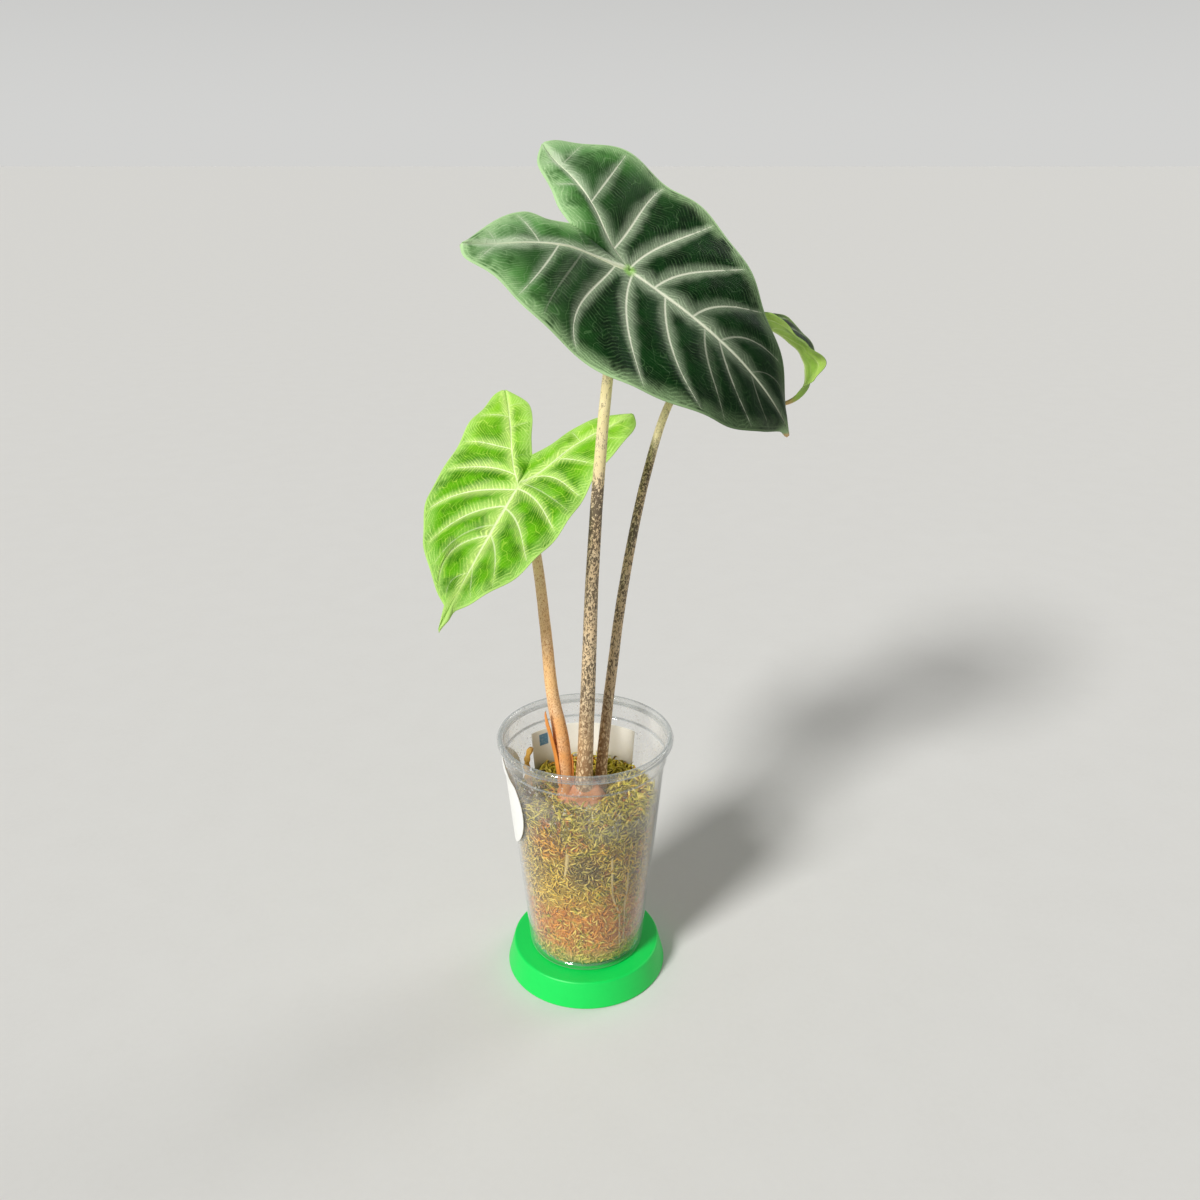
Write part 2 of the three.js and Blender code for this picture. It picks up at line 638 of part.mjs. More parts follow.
function mossBody() {
  const bottom = cupFloor + seatGap;
  const bottomRadius = cupRadiusBottom - cupWall - 0.8 - seatGap;
  const rings = [0.5, 0.97].map((share) => circleRing(() => [bottomRadius * share, bottom]));
  const heights = [0.02, 0.15, 0.31, 0.47, 0.63, 0.79, 0.94];
  for (const share of heights) {
    rings.push(circleRing((angle) => {
      const wall = cupInner(bottom + share * (mossLevel - bottom)) - seatGap;
      const edge = mossTop(wall * Math.cos(angle), wall * Math.sin(angle));
      const z = mix(bottom, edge, share);
      return [cupInner(z) - seatGap - mossSide(angle, z), z];
    }));
  }
  for (const share of [0.985, 0.88, 0.74, 0.6, 0.45, 0.2]) {
    rings.push(circleRing((angle) => {
      const radius = (cupInner(mossLevel - mossLump) - seatGap - mossSideLump) * share;
      return [radius, mossTop(radius * Math.cos(angle), radius * Math.sin(angle))];
    }));
  }
  return ringBody(rings, [0, 0, bottom], [0, 0, mossTop(0, 0)]);
}

// A ring of points round Z, with its radius and height from the angle
function circleRing(radiusAndHeight) {
  const ring = [];
  for (let j = 0; j < roundSides; j += 1) {
    const angle = (2 * Math.PI * j) / roundSides;
    const [radius, z] = radiusAndHeight(angle);
    ring.push([radius * Math.cos(angle), radius * Math.sin(angle), z]);
  }
  return ring;
}

// Loose strands of moss: short arched threads rooted well inside the moss
function mossStrandSolids() {
  const draw = seededDraw(41);
  const strands = [];
  while (strands.length < mossStrands) {
    const radius = 36 * Math.sqrt(draw());
    const angle = 2 * Math.PI * draw();
    const heading = 2 * Math.PI * draw();
    const length = mix(5, 10, draw());
    const x = radius * Math.cos(angle);
    const y = radius * Math.sin(angle);
    const run = [length * Math.cos(heading), length * Math.sin(heading)];
    const reach = (share) => [x + run[0] * share, y + run[1] * share];
    const [endX, endY] = reach(1);
    const fromCrown = Math.hypot(x - crownCentre[0], y - crownCentre[1]);
    const endFromCrown = Math.hypot(endX - crownCentre[0], endY - crownCentre[1]);
    if (fromCrown > 17 && endFromCrown > 17 && Math.hypot(endX, endY) < 37) {
      const points = [[...reach(0), mossTop(x, y) - 2.5], [...reach(0.35), mossTop(x, y) + 1.8],
        [...reach(1), mossTop(endX, endY) + 0.6]];
      strands.push(solidOf(stem(curveThrough(points), (t) => mix(0.9, 0.4, t), 3, 3)));
    }
  }
  return strands;
}

function mossGeometry() {
  let solid = solidOf(mossBody());
  for (const strand of mossStrandSolids()) solid = solid.add(strand);
  const holes = [
    crownGeometry(seatGap), labelGeometry(seatGap), stalkGeometry(seatGap),
    ...Object.values(petiolePlans).map((plan) => petioleGeometry(plan, seatGap)),
  ];
  for (const hole of holes) solid = solid.subtract(solidOf(hole));
  return geometryFrom(largestPiece(solid));
}

// The main body of a solid, without scraps that a cut has left
function largestPiece(solid) {
  return solid.decompose().reduce((best, piece) => (piece.volume() > best.volume() ? piece : best));
}

function crownWithHoles() {
  let solid = solidOf(crownGeometry());
  for (const plan of Object.values(petiolePlans)) {
    solid = solid.subtract(solidOf(petioleGeometry(plan, seatGap)));
  }
  return geometryFrom(largestPiece(solid));
}

// Finishes: colour, roughness and, for the clear cup, opacity
const finishes = {
  stand: { color: '#05d055', roughness: 0.45 },
  cup: { color: '#e8edee', roughness: 0.12, transparent: true, opacity: 0.3 },
  moss: { color: '#a3893b', roughness: 0.95 },
  crown: { color: '#d79c7c', roughness: 0.6 },
  petiole: { color: '#b1926a', roughness: 0.55 },
  youngPetiole: { color: '#e0a468', roughness: 0.5 },
  sheath: { color: '#de8f4d', roughness: 0.6 },
  darkBlade: { color: '#1c4426', roughness: 0.4 },
  youngBlade: { color: '#5aa51e', roughness: 0.45 },
  card: { color: '#eeeade', roughness: 0.7 },
  sticker: { color: '#f4f4f0', roughness: 0.6 },
  straw: { color: '#c79f4e', roughness: 0.85 },
};

const plant = new THREE.Group();
function add(name, geometry, finish) {
  const material = new THREE.MeshStandardMaterial({ metalness: 0, ...finishes[finish] });
  const mesh = new THREE.Mesh(geometry, material);
  mesh.name = name;
  plant.add(mesh);
}

add('stand', standGeometry(), 'stand');
add('cup', cupGeometry(), 'cup');
add('moss', mossGeometry(), 'moss');
add('crown', crownWithHoles(), 'crown');
add('petiole_big', petioleGeometry(petiolePlans.petiole_big), 'petiole');
add('petiole_back', petioleGeometry(petiolePlans.petiole_back), 'petiole');
add('petiole_young', petioleGeometry(petiolePlans.petiole_young), 'youngPetiole');
add('sheath', sheathGeometry(), 'sheath');
add('blade_big', bladeGeometry(bigLeaf), 'darkBlade');
add('blade_back', bladeGeometry(backLeaf), 'darkBlade');
add('blade_young', bladeGeometry(youngLeaf), 'youngBlade');
add('label_card', labelGeometry(), 'card');
add('side_sticker', stickerGeometry(), 'sticker');
add('dried_stalk', stalkGeometry(), 'straw');

export default plant;
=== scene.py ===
# Visual model of a potted ivory coast alocasia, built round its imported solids.
# Shapes are worked out in millimetres and made in metres. +Z is up and the plant's front is -Y.
import functools
import json
import math

import bpy
import numpy as np
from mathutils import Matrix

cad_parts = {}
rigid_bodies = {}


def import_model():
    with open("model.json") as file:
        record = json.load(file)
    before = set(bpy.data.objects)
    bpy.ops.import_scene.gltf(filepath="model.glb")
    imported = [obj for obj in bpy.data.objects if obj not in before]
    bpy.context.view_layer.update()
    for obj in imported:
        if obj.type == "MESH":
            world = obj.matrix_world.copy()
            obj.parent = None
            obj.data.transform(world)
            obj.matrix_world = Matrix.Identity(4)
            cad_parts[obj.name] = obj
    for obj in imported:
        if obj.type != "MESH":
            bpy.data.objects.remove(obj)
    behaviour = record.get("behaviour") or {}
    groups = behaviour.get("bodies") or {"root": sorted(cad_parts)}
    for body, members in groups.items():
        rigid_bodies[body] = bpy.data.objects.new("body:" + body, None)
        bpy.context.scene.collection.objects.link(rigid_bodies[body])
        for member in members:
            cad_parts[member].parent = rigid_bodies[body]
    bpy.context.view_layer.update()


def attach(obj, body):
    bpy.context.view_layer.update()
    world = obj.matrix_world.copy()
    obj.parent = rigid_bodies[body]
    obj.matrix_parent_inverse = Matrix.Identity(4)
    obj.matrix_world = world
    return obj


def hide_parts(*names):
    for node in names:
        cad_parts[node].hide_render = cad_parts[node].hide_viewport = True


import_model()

MM = 0.001

# Stand and cup, as in the part's source
SEAT_GAP = 0.3
STAND_HEIGHT = 15
STAND_RADIUS_BOTTOM = 45.4
STAND_RADIUS_TOP = 41.6
RIM_RADIUS = 47.5
CUP_WALL = 0.8
CUP_RADIUS_BOTTOM = 32.3
CUP_RADIUS_TOP = 43.4
CUP_FOOT = 2
COLLAR_HEIGHT = 13
COLLAR_STEP = 0.9
LIP_HEIGHT = 4.4
CUP_BOTTOM = STAND_HEIGHT + SEAT_GAP
CUP_TOP = CUP_BOTTOM + 133
CUP_FLOOR = CUP_BOTTOM + CUP_FOOT + CUP_WALL
COLLAR_TOP = CUP_TOP - LIP_HEIGHT
COLLAR_BOTTOM = COLLAR_TOP - COLLAR_HEIGHT + LIP_HEIGHT
COLLAR_RADIUS = CUP_RADIUS_TOP + COLLAR_STEP
COLLAR_SPREAD = 0.5
WALL_TOP = COLLAR_BOTTOM - 1
FLOOR_BEVEL = 0.8

# Moss and crown
MOSS_LEVEL = 111
MOSS_LUMP = 2.2
CROWN_CENTRE = (-2.5, 0.5)
CROWN_RADIUS = 12.5
CROWN_HOLLOW = 5

# Card inside the back wall, and the round paper outside the left wall
CARD_ANGLE = 93
CARD_SPAN = 89
CARD_TOP = 131.3
CARD_HEIGHT = 34
CARD_THICKNESS = 0.5
STICKER_RADIUS = 26
STICKER_HEIGHT = 111
STICKER_ANGLE = 184
STICKER_THICKNESS = 0.4

# Leaves, in millimetres and degrees. From the place where its stalk is attached, a blade lies on flat axes
# u, to its tip, and v, to its left and right. It is then
# - turned: heading, slope and roll
# - arched along u: the bend at the stalk, how it grows, and the bend of the lobes
# - cupped across v: left, right and twist
# - lifted at its lobes: left, right and how long they are
# - waved at its margin: height, number of waves and phase
# - folded along a keel, if it is the leaf behind: the keel's height and its two sides' slopes, along u.
# "vein" is a lobe's basal vein, and "sinus" the bottom of the notch between the lobes. "inner" is each half's
# margin from there to the lobe's tip, and "outer" the one from there to the leaf's tip. Side veins are
# (start, end, early bow, late bow, strength): the start is -1 to 0 along the basal vein and 0 to 1 along
# the midrib, the end is a share of the outer margin, and the bows are shares of the vein's length a third
# and two thirds of the way. Inner veins are (start along the basal vein, end on the inner margin, strength).
BIG_LEAF = {
    "attach": (21.1, -6.0, 387.4), "turn": (-4.6, 33, 41.2), "arch": (1.37e-3, 4.85e-5, 2.15e-3),
    "cup": (-0.17e-3, 0.67e-3, 1.28e-3), "lobe_lift": (8.1, 5.9, 66), "wave": (1.0, 5, 0.4),
    "fold": None, "sinus": (-33, 0),
    "vein": [(0, 0), (-14, 5.5), (-30, 14.5), (-51, 29.5), (-66, 41)],
    "inner": [
        [(-33, 0), (-42, 5), (-52, 16), (-62, 27.5), (-66, 41)],
        [(-33, 0), (-42, 3.6), (-53, 4.6), (-61, 17), (-66, 41)]],
    "outer": [
        [(-66, 41), (-60, 48.5), (-46, 52), (-26, 55.5), (-5, 58), (13, 57.5), (31, 52), (47, 44),
         (64, 32.5), (81, 22), (98, 11.5), (108, 4.4), (112, 1.6), (117, 0)],
        [(-66, 41), (-60, 47.5), (-45, 50), (-27, 56.5), (-5, 57), (14, 56.5), (30, 51.5), (47, 44.5),
         (64, 37), (82, 28), (97, 16), (108, 5), (112, 1.6), (117, 0)]],
    "side_veins": [
        [(-1, 0, 0, 0, 0.4), (-0.77, 0.105, -0.03, 0, 0.3), (-0.43, 0.203, 0, 0, 0.75),
         (-0.152, 0.318, -0.01, 0.04, 1), (-0.007, 0.463, 0.045, 0, 1), (0.115, 0.595, 0.06, 0.01, 0.9),
         (0.302, 0.7, 0.076, 0.016, 0.7), (0.447, 0.835, 0.107, 0.048, 0.4), (0.63, 0.91, 0.1, 0.04, 0.2),
         (1, 1, 0, 0, 0.3)],
        [(-1, 0, 0, 0, 0.4), (-0.777, 0.065, 0.03, 0, 0.35), (-0.448, 0.18, -0.016, -0.018, 0.7),
         (-0.3, 0.25, 0, 0.03, 0.15), (-0.09, 0.357, 0.031, 0.146, 0.85), (0.016, 0.517, 0.074, 0.042, 0.9),
         (0.169, 0.675, 0.078, 0.068, 0.85), (0.367, 0.75, 0.086, 0.03, 0.4), (0.441, 0.84, 0.062, 0.04, 0.6),
         (0.63, 0.91, 0.08, 0.04, 0.25), (1, 1, 0, 0, 0.3)]],
    "inner_veins": [(0, 0, 0), (0.27, 0, 0.1), (0.56, 0.42, 0.55), (0.8, 0.72, 0.3), (1, 1, 0.4)],
}
YOUNG_LEAF = {
    "attach": (-32.5, 8.0, 282.8), "turn": (-119, 33.1, -2.6), "arch": (0.84e-3, 0.88e-5, 0.28e-3),
    "cup": (0.72e-3, 1.16e-3, 0.55e-3), "lobe_lift": (2.5, 3.0, 58), "wave": (0.9, 6, 1.7),
    "fold": None, "sinus": (-20, -1.8),
    "vein": [(0, 0), (-12, 9), (-31, 19.5), (-46, 29), (-59, 38)],
    "inner": [
        [(-20, -1.8), (-29, 6), (-42, 12.5), (-53, 21), (-59, 38)],
        [(-20, 1.8), (-29, 6.4), (-43, 13), (-54, 22), (-59, 38)]],
    "outer": [
        [(-59, 38), (-52, 42), (-38, 43), (-20, 38.5), (-4, 37), (13, 36.5), (30, 33.5), (45, 28.5),
         (58, 20.5), (69, 10), (75, 3.4), (78, 2.6), (82, 2.6), (88, 0)],
        [(-59, 38), (-52, 42), (-36, 43), (-19, 43.5), (-3, 44), (13, 44.5), (28, 40.5), (44, 32.5),
         (57, 22), (69, 10.5), (75, 3.4), (78, 2.4), (82, 2), (88, 0)]],
    "side_veins": [
        [(-1, 0, 0, 0, 0.4), (-0.705, 0.138, -0.1, -0.03, 0.45), (-0.335, 0.255, 0.03, 0.01, 0.8),
         (-0.12, 0.38, 0.117, 0.013, 0.9), (-0.03, 0.455, 0.03, 0.02, 0.35),
         (0.021, 0.537, 0.07, 0.016, 0.85), (0.171, 0.665, 0.065, 0, 0.75),
         (0.358, 0.795, 0.052, 0.024, 0.6), (0.568, 0.87, 0.015, 0, 0.35), (1, 1, 0, 0, 0.3)],
        [(-1, 0, 0, 0, 0.4), (-0.675, 0.158, 0.055, 0.028, 0.7), (-0.347, 0.26, 0, 0.038, 0.85),
         (-0.11, 0.378, 0.069, 0.051, 1), (0.031, 0.55, 0.061, 0.107, 1), (0.156, 0.685, 0.098, 0.078, 0.9),
         (0.295, 0.765, 0.1, 0.075, 0.4), (0.368, 0.87, 0.194, 0.142, 0.75), (0.627, 0.92, 0.2, 0.07, 0.3),
         (1, 1, 0, 0, 0.3)]],
    "inner_veins": [(0, 0, 0), (0.25, 0, 0.1), (0.55, 0.4, 0.6), (0.8, 0.7, 0.4), (1, 1, 0.4)],
}
BACK_LEAF = {
    "attach": (67.5, 62.5, 360.5), "turn": (-15.6, -3.8, -8.5), "arch": (2.26e-3, 35.5e-5, 1.92e-3),
    "cup": (-0.6e-3, -0.25e-3, 1.02e-3), "lobe_lift": (1.2, 0.5, 49), "wave": (0.7, 5, 2.4),
    "fold": {
        "keel": [(10, 0), (30, -5), (44, -5), (56, -3), (64, -1.8), (74, 0), (88, 0)],
        "near": [(12, 0), (34, 0.3), (46, 0.34), (54, 0.45), (62, 0.84), (68, 0.6), (74, 0.2), (88, 0)],
        "far": [(12, 0), (34, 0.22), (48, 0.22), (56, 0.18), (64, 0), (88, 0)]},
    "sinus": (-24, 0),
    "vein": [(0, 0), (-11, 4.5), (-22, 11), (-38, 22), (-49, 30)],
    "inner": [
        [(-24, 0), (-31, 4), (-38.5, 11), (-45, 20), (-49, 30)],
        [(-24, 0), (-31, 3.6), (-38.5, 10), (-45, 19), (-49, 30)]],
    "outer": [
        [(-49, 30), (-44, 36), (-34, 39), (-19, 41.5), (-4, 42.5), (10, 41.5), (23, 38), (35, 32.5),
         (47, 26), (60, 18), (71, 10.5), (78, 4), (82, 1.8), (88, 0)],
        [(-49, 30), (-44, 35.5), (-33, 38), (-19, 41), (-4, 42), (10, 41), (22, 37.5), (35, 32),
         (47, 26), (60, 19), (71, 11), (78, 4), (82, 1.8), (88, 0)]],
    "side_veins": [BIG_LEAF["side_veins"][0], BIG_LEAF["side_veins"][1]],
    "inner_veins": BIG_LEAF["inner_veins"],
}

# Petioles: points of the centre line, radii at given heights, the leaf on top and the bend below it
PETIOLES = {
    "petiole_big": {
        "leaf": BIG_LEAF, "neck": 9,
        "points": [(-1.2, -3, 111), (-0.6, -3, 122.7), (1.7, -3.5, 176), (4.4, -4.2, 245), (9, -5, 312),
                   (12, -4.8, 342)],
        "radii": [(111, 5.2), (119, 4.9), (135, 4.3), (165, 3.95), (245, 3.3), (340, 2.6), (400, 2.4)]},
    "petiole_young": {
        "leaf": YOUNG_LEAF, "neck": 9,
        "points": [(-10.8, -3.4, 111), (-10.8, -3, 122.7), (-13.2, -1.4, 147.8), (-17.2, 0.1, 171),
                   (-20.5, 2.8, 210), (-24.2, 5.4, 245.2)],
        "radii": [(111, 3.4), (120, 3.6), (131, 4.2), (142, 4.3), (155, 3.9), (170, 3.4), (210, 2.9),
                  (300, 2.4)]},
    "petiole_back": {
        "leaf": BACK_LEAF, "neck": 7,
        "points": [(8.3, 6.4, 111), (9.4, 7.6, 130), (14, 12, 175), (20.7, 21.3, 225.3),
                   (32, 35.4, 279.8), (44.3, 46.9, 316.7)],
        "radii": [(111, 3.5), (120, 3.2), (160, 2.9), (240, 2.5), (320, 2.1), (370, 1.9)]},
}


# Numbers and curves
def linear(code):
    """An sRGB hex colour as linear RGBA."""
    channels = [int(code[i:i + 2], 16) / 255 for i in (1, 3, 5)]
    return tuple(c / 12.92 if c <= 0.04045 else ((c + 0.055) / 1.055) ** 2.4 for c in channels) + (1.0,)


def smooth(x, low, high):
    """A soft step from 0 at low to 1 at high."""
    t = np.clip((np.asarray(x, float) - low) / (high - low), 0, 1)
    return t * t * (3 - 2 * t)


def read_table(table, x):
    """A table of (x, value) rows, read between its rows."""
    return np.interp(x, [row[0] for row in table], [row[1] for row in table])


def read_eased(table, x):
    """The same, eased so that it has no corners."""
    value = np.full(np.shape(x), float(table[0][1]))
    for (a, low), (b, high) in zip(table, table[1:]):
        value = value + (high - low) * smooth(x, a, b)
    return value


def even_steps(points, count):
    """A polyline's points, taken again at even steps of its length."""
    length = np.r_[0, np.cumsum(np.linalg.norm(np.diff(points, axis=0), axis=1))]
    steps = np.linspace(0, length[-1], count)
    return np.stack([np.interp(steps, length, points[:, k]) for k in range(points.shape[1])], 1)


def flat_curve(points, count=401):
    """The smooth flat curve through a few points, at even steps."""
    p = np.array(points, float)
    ends = np.vstack([p[:1], p, p[-1:]])
    t = np.linspace(0, 1, 40, endpoint=False)[:, None]
    pieces = []
    for a, b, c, d in zip(ends, ends[1:], ends[2:], ends[3:]):
        u, v = (c - a) / 2, (d - b) / 2
        pieces.append((2 * b - 2 * c + u + v) * t ** 3 + (3 * c - 3 * b - 2 * u - v) * t ** 2 + u * t + b)
    return even_steps(np.vstack(pieces + [p[-1:]]), count)


def space_curve(points, count):
    """The smooth curve through a few points in space, with tangents that follow their spacing."""
    p = np.array(points, float)
    ends = np.vstack([2 * p[0] - p[1], p, 2 * p[-1] - p[-2]])
    t = np.linspace(0, 1, 60, endpoint=False)[:, None]
    pieces = []
    for a, b, c, d in zip(ends, ends[1:], ends[2:], ends[3:]):
        ab, bc, cd = (np.linalg.norm(q - r) ** 0.5 for q, r in ((a, b), (b, c), (c, d)))
        u = ((b - a) / ab - (c - a) / (ab + bc) + (c - b) / bc) * bc
        v = ((c - b) / bc - (d - b) / (bc + cd) + (d - c) / cd) * bc
        pieces.append((2 * b - 2 * c + u + v) * t ** 3 + (3 * c - 3 * b - 2 * u - v) * t ** 2 + u * t + b)
    return even_steps(np.vstack(pieces + [p[-1:]]), count)


def curve_at(curve, share):
    """Points of an evenly stepped curve at shares of its length."""
    place = np.asarray(share, float) * (len(curve) - 1)
    return np.stack([np.interp(place, np.arange(len(curve)), curve[:, k]) for k in range(curve.shape[1])], -1)


def distance_to(points, line):
    """Distance of flat points from a polyline."""
    a, b = line[:-1], line[1:]
    run = b - a
    share = np.einsum("nmk,mk->nm", points[:, None] - a[None], run) / np.maximum((run ** 2).sum(1), 1e-12)
    nearest = a[None] + np.clip(share, 0, 1)[..., None] * run[None]
    return np.sqrt(((points[:, None] - nearest) ** 2).sum(2).min(1))


def full_turn(sides):
    """Even turns once round, in radians."""
    return np.linspace(0, 2 * math.pi, sides, endpoint=False)


def at_turn(radius, turn, z):
    """Places at a distance from the Z axis, by turn in radians and height."""
    return np.stack(np.broadcast_arrays(radius * np.cos(turn), radius * np.sin(turn), z), -1)


# Meshes
def new_piece(name, points, faces, materials, slots=None, crease=50):
    """A smooth mesh piece from points in millimetres."""
    mesh = bpy.data.meshes.new(name)
    mesh.from_pydata((np.asarray(points) * MM).tolist(), [], faces)
    for material in materials:
        mesh.materials.append(material)
    if slots is not None:
        mesh.polygons.foreach_set("material_index", slots)
    mesh.polygons.foreach_set("use_smooth", [True] * len(mesh.polygons))
    mesh.set_sharp_from_angle(angle=math.radians(crease))
    mesh.update()
    piece = bpy.data.objects.new(name, mesh)
    bpy.context.scene.collection.objects.link(piece)
    return piece


def add_vectors(piece, title, domain, values):
    """Stores a vector at each point or corner of a piece, for its finish to read."""
    layer = piece.data.attributes.new(title, "FLOAT_VECTOR", domain)
    layer.data.foreach_set("vector", values.astype(np.float32).ravel())


def grid_faces(order):
    """Four-sided faces of a grid of point numbers."""
    return np.stack([order[:-1, :-1], order[1:, :-1], order[1:, 1:], order[:-1, 1:]], -1).reshape(-1, 4)


def ring_walls(rings, count):
    """Faces between the rings of a grid that closes round."""
    return [(i + j, i + (j + 1) % count, i + count + (j + 1) % count, i + count + j)
            for i in range(0, (rings - 1) * count, count) for j in range(count)]


def ring_faces(rings, count):
    """The same, with the end rings closed by fans onto two extra points."""
    faces, top = ring_walls(rings, count), (rings - 1) * count
    for j in range(count):
        k = (j + 1) % count
        faces += [(rings * count, k, j), (rings * count + 1, top + j, top + k)]
    return faces


def turned(profile, sides):
    """Points and faces of a solid of revolution about Z. Its profile starts and ends on the axis."""
    rings = [at_turn(r, full_turn(sides), z) for r, z in profile[1:-1]]
    ends = [[0, 0, profile[0][1]], [0, 0, profile[-1][1]]]
    return np.vstack(rings + [ends]), ring_faces(len(rings), sides)


def rounded(profile, radius, steps):
    """A profile with its corners rounded, each by a curve of so many steps."""
    p = [np.array(q, float) for q in profile]
    out = [p[0]]
    for i in range(1, len(p) - 1):
        before, after = p[i - 1] - p[i], p[i + 1] - p[i]
        reach = min(radius, np.linalg.norm(before) * 0.45, np.linalg.norm(after) * 0.45)
        start = p[i] + before / np.linalg.norm(before) * reach
        end = p[i] + after / np.linalg.norm(after) * reach
        for t in np.linspace(0, 1, steps + 1):
            out.append((1 - t) ** 2 * start + 2 * t * (1 - t) * p[i] + t ** 2 * end)
    return [tuple(q) for q in out + [p[-1]]]


def tube(curve, radii, sides, ripple, seed):
    """Points and faces of a closed tube round a curve, with a radius at each point and an uneven ripple."""
    run = np.gradient(curve, axis=0)
    run /= np.linalg.norm(run, axis=1)[:, None]
    side = np.cross(run[0], (0, 1, 0))
    side /= np.linalg.norm(side)
    angles, rings = full_turn(sides), []
    for i, (centre, ahead, radius) in enumerate(zip(curve, run, radii)):
        side = side - ahead * side.dot(ahead)
        side /= np.linalg.norm(side)
        other = np.cross(ahead, side)
        lumps = 1 + ripple * (np.sin(3 * angles + i * 0.11 + seed) * np.sin(i * 0.23 + seed)
                              + 0.5 * np.sin(5 * angles - i * 0.17 + 2 * seed))
        out = (radius * lumps)[:, None]
        rings.append(centre + out * np.outer(np.cos(angles), side) + out * np.outer(np.sin(angles), other))
    return np.vstack(rings + [curve[:1], curve[-1:]]), ring_faces(len(rings), sides)


# Materials
def add_node(tree, kind, inputs=None, output=None, **settings):
    """Adds a node, sets its properties, and sets or links its inputs. Returns an output."""
    node = tree.nodes.new(kind)
    for name, value in settings.items():
        setattr(node, name, value)
    for key, value in (inputs or {}).items():
        socket = node.inputs[key] if isinstance(key, int) else next(
            s for s in node.inputs if s.name == key and s.enabled)
        if isinstance(value, bpy.types.NodeSocket):
            tree.links.new(value, socket)
        else:
            socket.default_value = value
    if output is None:
        return next((s for s in node.outputs if s.enabled), None)
    return node.outputs[output]


def new_finish(name, ior, roughness, **fixed):
    """A material with its main constants, its tree's add function and its shader."""
    material = bpy.data.materials.new(name)
    material.use_nodes = True
    shader = material.node_tree.nodes["Principled BSDF"]
    shader.inputs["IOR"].default_value = ior
    shader.inputs["Roughness"].default_value = roughness
    for key, value in fixed.items():
        shader.inputs[key.replace("_", " ")].default_value = value
    return material, shader, functools.partial(add_node, material.node_tree)


def wire(material, shader, **sockets):
    """Links values to the shader's sockets of these names."""
    for key, value in sockets.items():
        material.node_tree.links.new(value, shader.inputs[key.replace("_", " ")])


def range_of(low, high, start=0.0, end=1.0):
    """Settings' values for a smooth map from one range to another."""
    return {1: low, 2: high, 3: start, 4: end}


# Kinds and settings of nodes that come up again and again
MATH, MAP, MIX, NOISE = "ShaderNodeMath", "ShaderNodeMapRange", "ShaderNodeMix", "ShaderNodeTexNoise"
VECTOR, SPLIT, BUMP = "ShaderNodeVectorMath", "ShaderNodeSeparateXYZ", "ShaderNodeBump"
TIMES, TIMES_PLUS = {"operation": "MULTIPLY"}, {"operation": "MULTIPLY_ADD"}
SMOOTH = {"interpolation_type": "SMOOTHSTEP"}
COLOURS = {"data_type": "RGBA"}

# Sizes of the leaves' pattern, in millimetres. Real feather veins are under a millimetre apart and a real
# leaf's grain is a tenth of one. Both are drawn as fine as shows.
FEATHER_GAP = 1.7
GRAIN = 0.77
# How far apart feather veins break off, how far apart veins waver, the haze sways and the skin is blotched
FEATHER_BREAK, WOBBLE, SWAY, BLOTCH = 1.3, 3.3, 8.3, 13.3
# How far inside the margin side veins start to narrow
NARROWING = 34.0
VEINLETS_PER_PANEL = 2.7
DRY_TIP = "#CFA878"

# Typical IORs
CUTICLE_IOR, FLESH_IOR, WET_MOSS_IOR, PAPER_IOR, PET_IOR = 1.45, 1.42, 1.4, 1.5, 1.5
PLASTIC_IOR, PAINT_IOR = 1.49, 1.45


